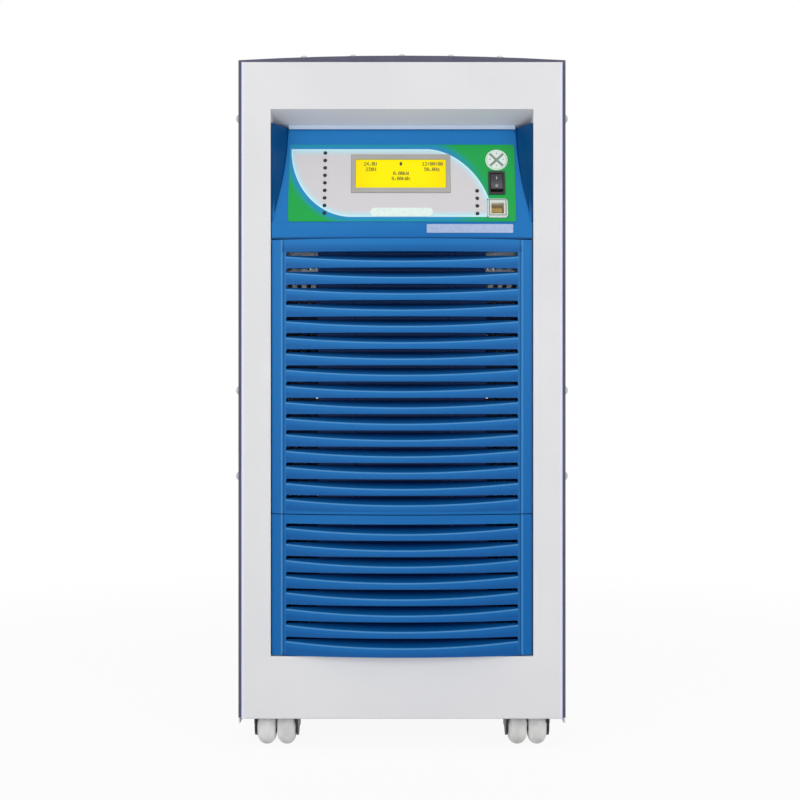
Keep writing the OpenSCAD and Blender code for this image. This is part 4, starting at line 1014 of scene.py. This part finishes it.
def laminated(wire):
    x, y, z = wire.axes()
    sheet = wire.math("SINE", y * (math.tau / 1.0))
    scale = wire.noise(120.0, 3.0)
    colour = (sheet * 0.3 + scale).ramp(0.2, 0.9).tint(rgb(52, 54, 60), rgb(96, 98, 106))
    return {"Base Color": colour, "Metallic": 0.8, "Roughness": scale.band(0.42, 0.6),
            "Normal": wire.relief(sheet, 0.00008)}


def enamelled(wire):
    drift = wire.noise(40.0, 2.0)
    return {"Base Color": drift.ramp(0.3, 0.7).tint(rgb(184, 92, 44), rgb(148, 64, 28)), "Metallic": 0.7,
            "Roughness": wire.noise(900.0).band(0.22, 0.36), "Coat Weight": 0.5, "Coat Roughness": 0.12}


softened("transformer_core", finish("laminated_steel", laminated), 0.4, 2)
softened("transformer_clamps", zinc, 0.3, 2)
enamel = finish("enamelled_copper", enamelled)
dress(enamel, "transformer_winding")
coil_tree, (points, wide, deep, round_r, gauge, rise, turns) = growth(
    "winding_turns", ["Wide", "Deep", "Corner", "Gauge", "Rise", "Turns"])
path = points.grow("CurvePrimitiveQuadrilateral", {"Width": wide, "Height": deep})
path = points.node("GeometryNodeFilletCurve", {"mode": "POLY"}, {"Curve": path, "Count": 8, "Radius": round_r})
loop = points.grow("CurveToMesh", {"Curve": path, "Profile Curve": points.ring(10, gauge)})
column = points.grow("MeshLine", {"Count": turns, "Offset": points.triple(z=rise)})
close_growth(coil_tree, column.bearing(loop), enamel)
low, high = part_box("transformer_winding")
gauge, inset = 1.5 * MM, 2.2 * MM
count = int((high.z - low.z) / (2 * gauge))
coil = grown("winding_turns", coil_tree,
             {"Wide": high.x - low.x - inset, "Deep": high.y - low.y - inset, "Corner": 20.2 * MM, "Gauge": gauge,
              "Rise": (high.z - low.z - 2 * gauge) / (count - 1), "Turns": float(count)})
centre = middle("transformer_winding")
coil.data.transform(Matrix.Translation((centre.x, centre.y, low.z + gauge)))
add_to("transformer_winding", coil)

# ---- Output choke ----
# A ring core wound with enamelled copper wire, lying on the deck under a central clamp.

dress(enamel, "output_choke")
ring_tree, (points, major, minor, gauge_in, turns) = growth("choke_turns", ["Major", "Minor", "Gauge", "Turns"])
circle = points.grow("MeshCircle", {"Vertices": turns, "Radius": major})
loop = points.grow("CurveToMesh", {"Curve": points.ring(28, minor), "Profile Curve": points.ring(8, gauge_in)})
loop = points.grow("Transform", {"Geometry": loop, "Rotation": (math.pi / 2, 0.0, 0.0)})
close_growth(ring_tree, circle.bearing(loop, {"Rotation": points.outward()}), enamel)
low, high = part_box("output_choke")
choke_r, tube_r = (high.x - low.x) / 2, 18 * MM
choke = grown("choke_turns", ring_tree, {"Major": choke_r - tube_r, "Minor": tube_r - 0.5 * MM, "Gauge": 1.0 * MM,
                                         "Turns": 44.0})
centre = middle("output_choke")
choke.data.transform(Matrix.Translation((centre.x, centre.y, low.z + 21 * MM)))
add_to("output_choke", choke)

# ---- Power stage ----
# An extruded aluminium heatsink carries ten power transistors. Their legs go down to the power board, a green
# glass-fibre board that also holds six large electrolytic capacitors in blue sleeves.


def circuit(wire):
    place = wire.node("TexCoord", output=3)
    tracks = wire.node("TexBrick", {"offset": 0.35, "squash": 0.6},
                       {"Vector": place, "Color1": (0, 0, 0, 1), "Color2": (0, 0, 0, 1), "Mortar": (1, 1, 1, 1),
                        "Scale": 90.0, "Mortar Size": 0.05}, 1)
    weave = wire.noise(900.0, 2.0)
    return {"Base Color": (tracks * 0.8 + weave * 0.2).tint(rgb(12, 84, 48), rgb(46, 132, 84)),
            "Roughness": weave.band(0.24, 0.38), "Normal": wire.relief(tracks, 0.00003)}


def legged(wire):
    x, y, z = wire.axes()
    case = z.ramp(case_low - 0.2, case_low + 0.2)
    epoxy = wire.noise(1400.0, 2.0)
    colour = case.tint(rgb(206, 206, 210), rgb(24, 24, 26))
    return epoxy.skin(colour, 0.34, 0.5, 0.00003) | {"Metallic": 1.0 - case}


def sleeved(wire):
    x, y, z = wire.axes()
    lid = z.ramp(can_top - 1.4, can_top - 1.2)
    gloss = wire.noise(300.0, 2.0)
    colour = lid.tint(rgb(22, 52, 122), rgb(186, 188, 192))
    return gloss.skin(colour, 0.2, 0.34, 0.00004) | {"Metallic": lid * 0.9}


case_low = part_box("power_transistors")[1].z / MM - 21.0
can_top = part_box("bus_capacitors")[1].z / MM
softened("heatsink", finish("extruded_aluminium", plated(rgb(204, 206, 210), 0.3, 60.0)), 0.25, 2)
softened("power_transistors", finish("transistor_case", legged), 0.2, 2)
softened("bus_capacitors", finish("capacitor_sleeve", sleeved), 0.7, 3)
green = finish("circuit_green", circuit)
softened("power_board", green, 0.15, 1)
softened("control_board", green, 0.15, 1)
softened("terminal_blocks", plastic("terminal_black", (34, 34, 37), 0.42), 0.4, 2)


# ---- Studio ----
# A plain pale floor and backdrop with large soft lamps, and a level camera straight in front of the cabinet.


def lamp(name, place, aim, width, height, power, colour=(1.0, 1.0, 1.0)):
    light = bpy.data.lights.new(name, "AREA")
    light.shape, light.size, light.size_y = "RECTANGLE", width, height
    light.energy, light.color = power, colour
    obj = linked(name, light)
    obj.location = place
    obj.rotation_euler = (Vector(aim) - Vector(place)).to_track_quat("-Z", "Y").to_euler()


def in_view(wire):
    """1 for rays from the camera, off a gloss or through a clear piece."""
    direct = wire.math("MAXIMUM", wire.node("LightPath", output=0), wire.node("LightPath", output=3))
    return wire.math("MAXIMUM", direct, wire.node("LightPath", output=6))


def white_card(wire):
    cloud = wire.noise(3.0, 2.0)
    matte = wire.node("BsdfDiffuse", None, {"Color": cloud.tint((0.86, 0.86, 0.86, 1), (0.88, 0.88, 0.88, 1))})
    glow = wire.node("Emission", None, {"Color": (1, 1, 1, 1), "Strength": 1.0})
    x, y, z = wire.axes()
    far = (x * x + y * y).ramp(420.0 ** 2, 1200.0 ** 2, 0.92, 1.0)
    return wire.node("MixShader", None, {0: in_view(wire) * far, 1: matte, 2: glow})


bpy.ops.mesh.primitive_plane_add(size=1)
floor = bpy.context.object
floor.name = "studio_floor"
floor.data.transform(Matrix.Diagonal((14.0, 14.0, 1.0, 1.0)))
floor.data.materials.append(finish("studio_white", white_card))

world = bpy.data.worlds.new("studio_air")
bpy.context.scene.world = world
world.use_nodes = True
air = Wire(world.node_tree)
background = world.node_tree.nodes["Background"]
world.node_tree.links.new(in_view(air).ramp(0.0, 1.0, 0.42, 1.0).socket, background.inputs["Strength"])
background.inputs["Color"].default_value = (1.0, 1.0, 1.0, 1.0)

front_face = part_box("front_frame")[0].y
lamp("left_softbox", (-1.2, front_face - 1.6, 1.0), (0, front_face, 0.35), 1.2, 1.3, 10.4)
lamp("right_softbox", (1.2, front_face - 1.6, 1.0), (0, front_face, 0.35), 1.2, 1.3, 10.4)
lamp("top_softbox", (0, front_face - 0.5, 2.1), (0, front_face, 0.4), 1.4, 1.0, 5.6)
lamp("low_softbox", (0, front_face - 1.6, 0.12), (0, front_face, 0.1), 1.6, 0.2, 3.2)
lamp("rear_softbox", (0, 1.9, 1.2), (0, 0, 0.4), 1.6, 1.2, 12)

camera_data = bpy.data.cameras.new("front_camera")
camera = linked("front_camera", camera_data)
bpy.context.scene.camera = camera
eye_height, standoff = 0.3514, 1.3
camera.location = (0, front_face - standoff, eye_height)
camera.rotation_euler = (math.pi / 2, 0, 0)
camera_data.sensor_width = 36
camera_data.lens = 60.3
camera_data.shift_x, camera_data.shift_y = -0.0025, -0.0125

view = bpy.context.scene.view_settings
view.view_transform = "Standard"
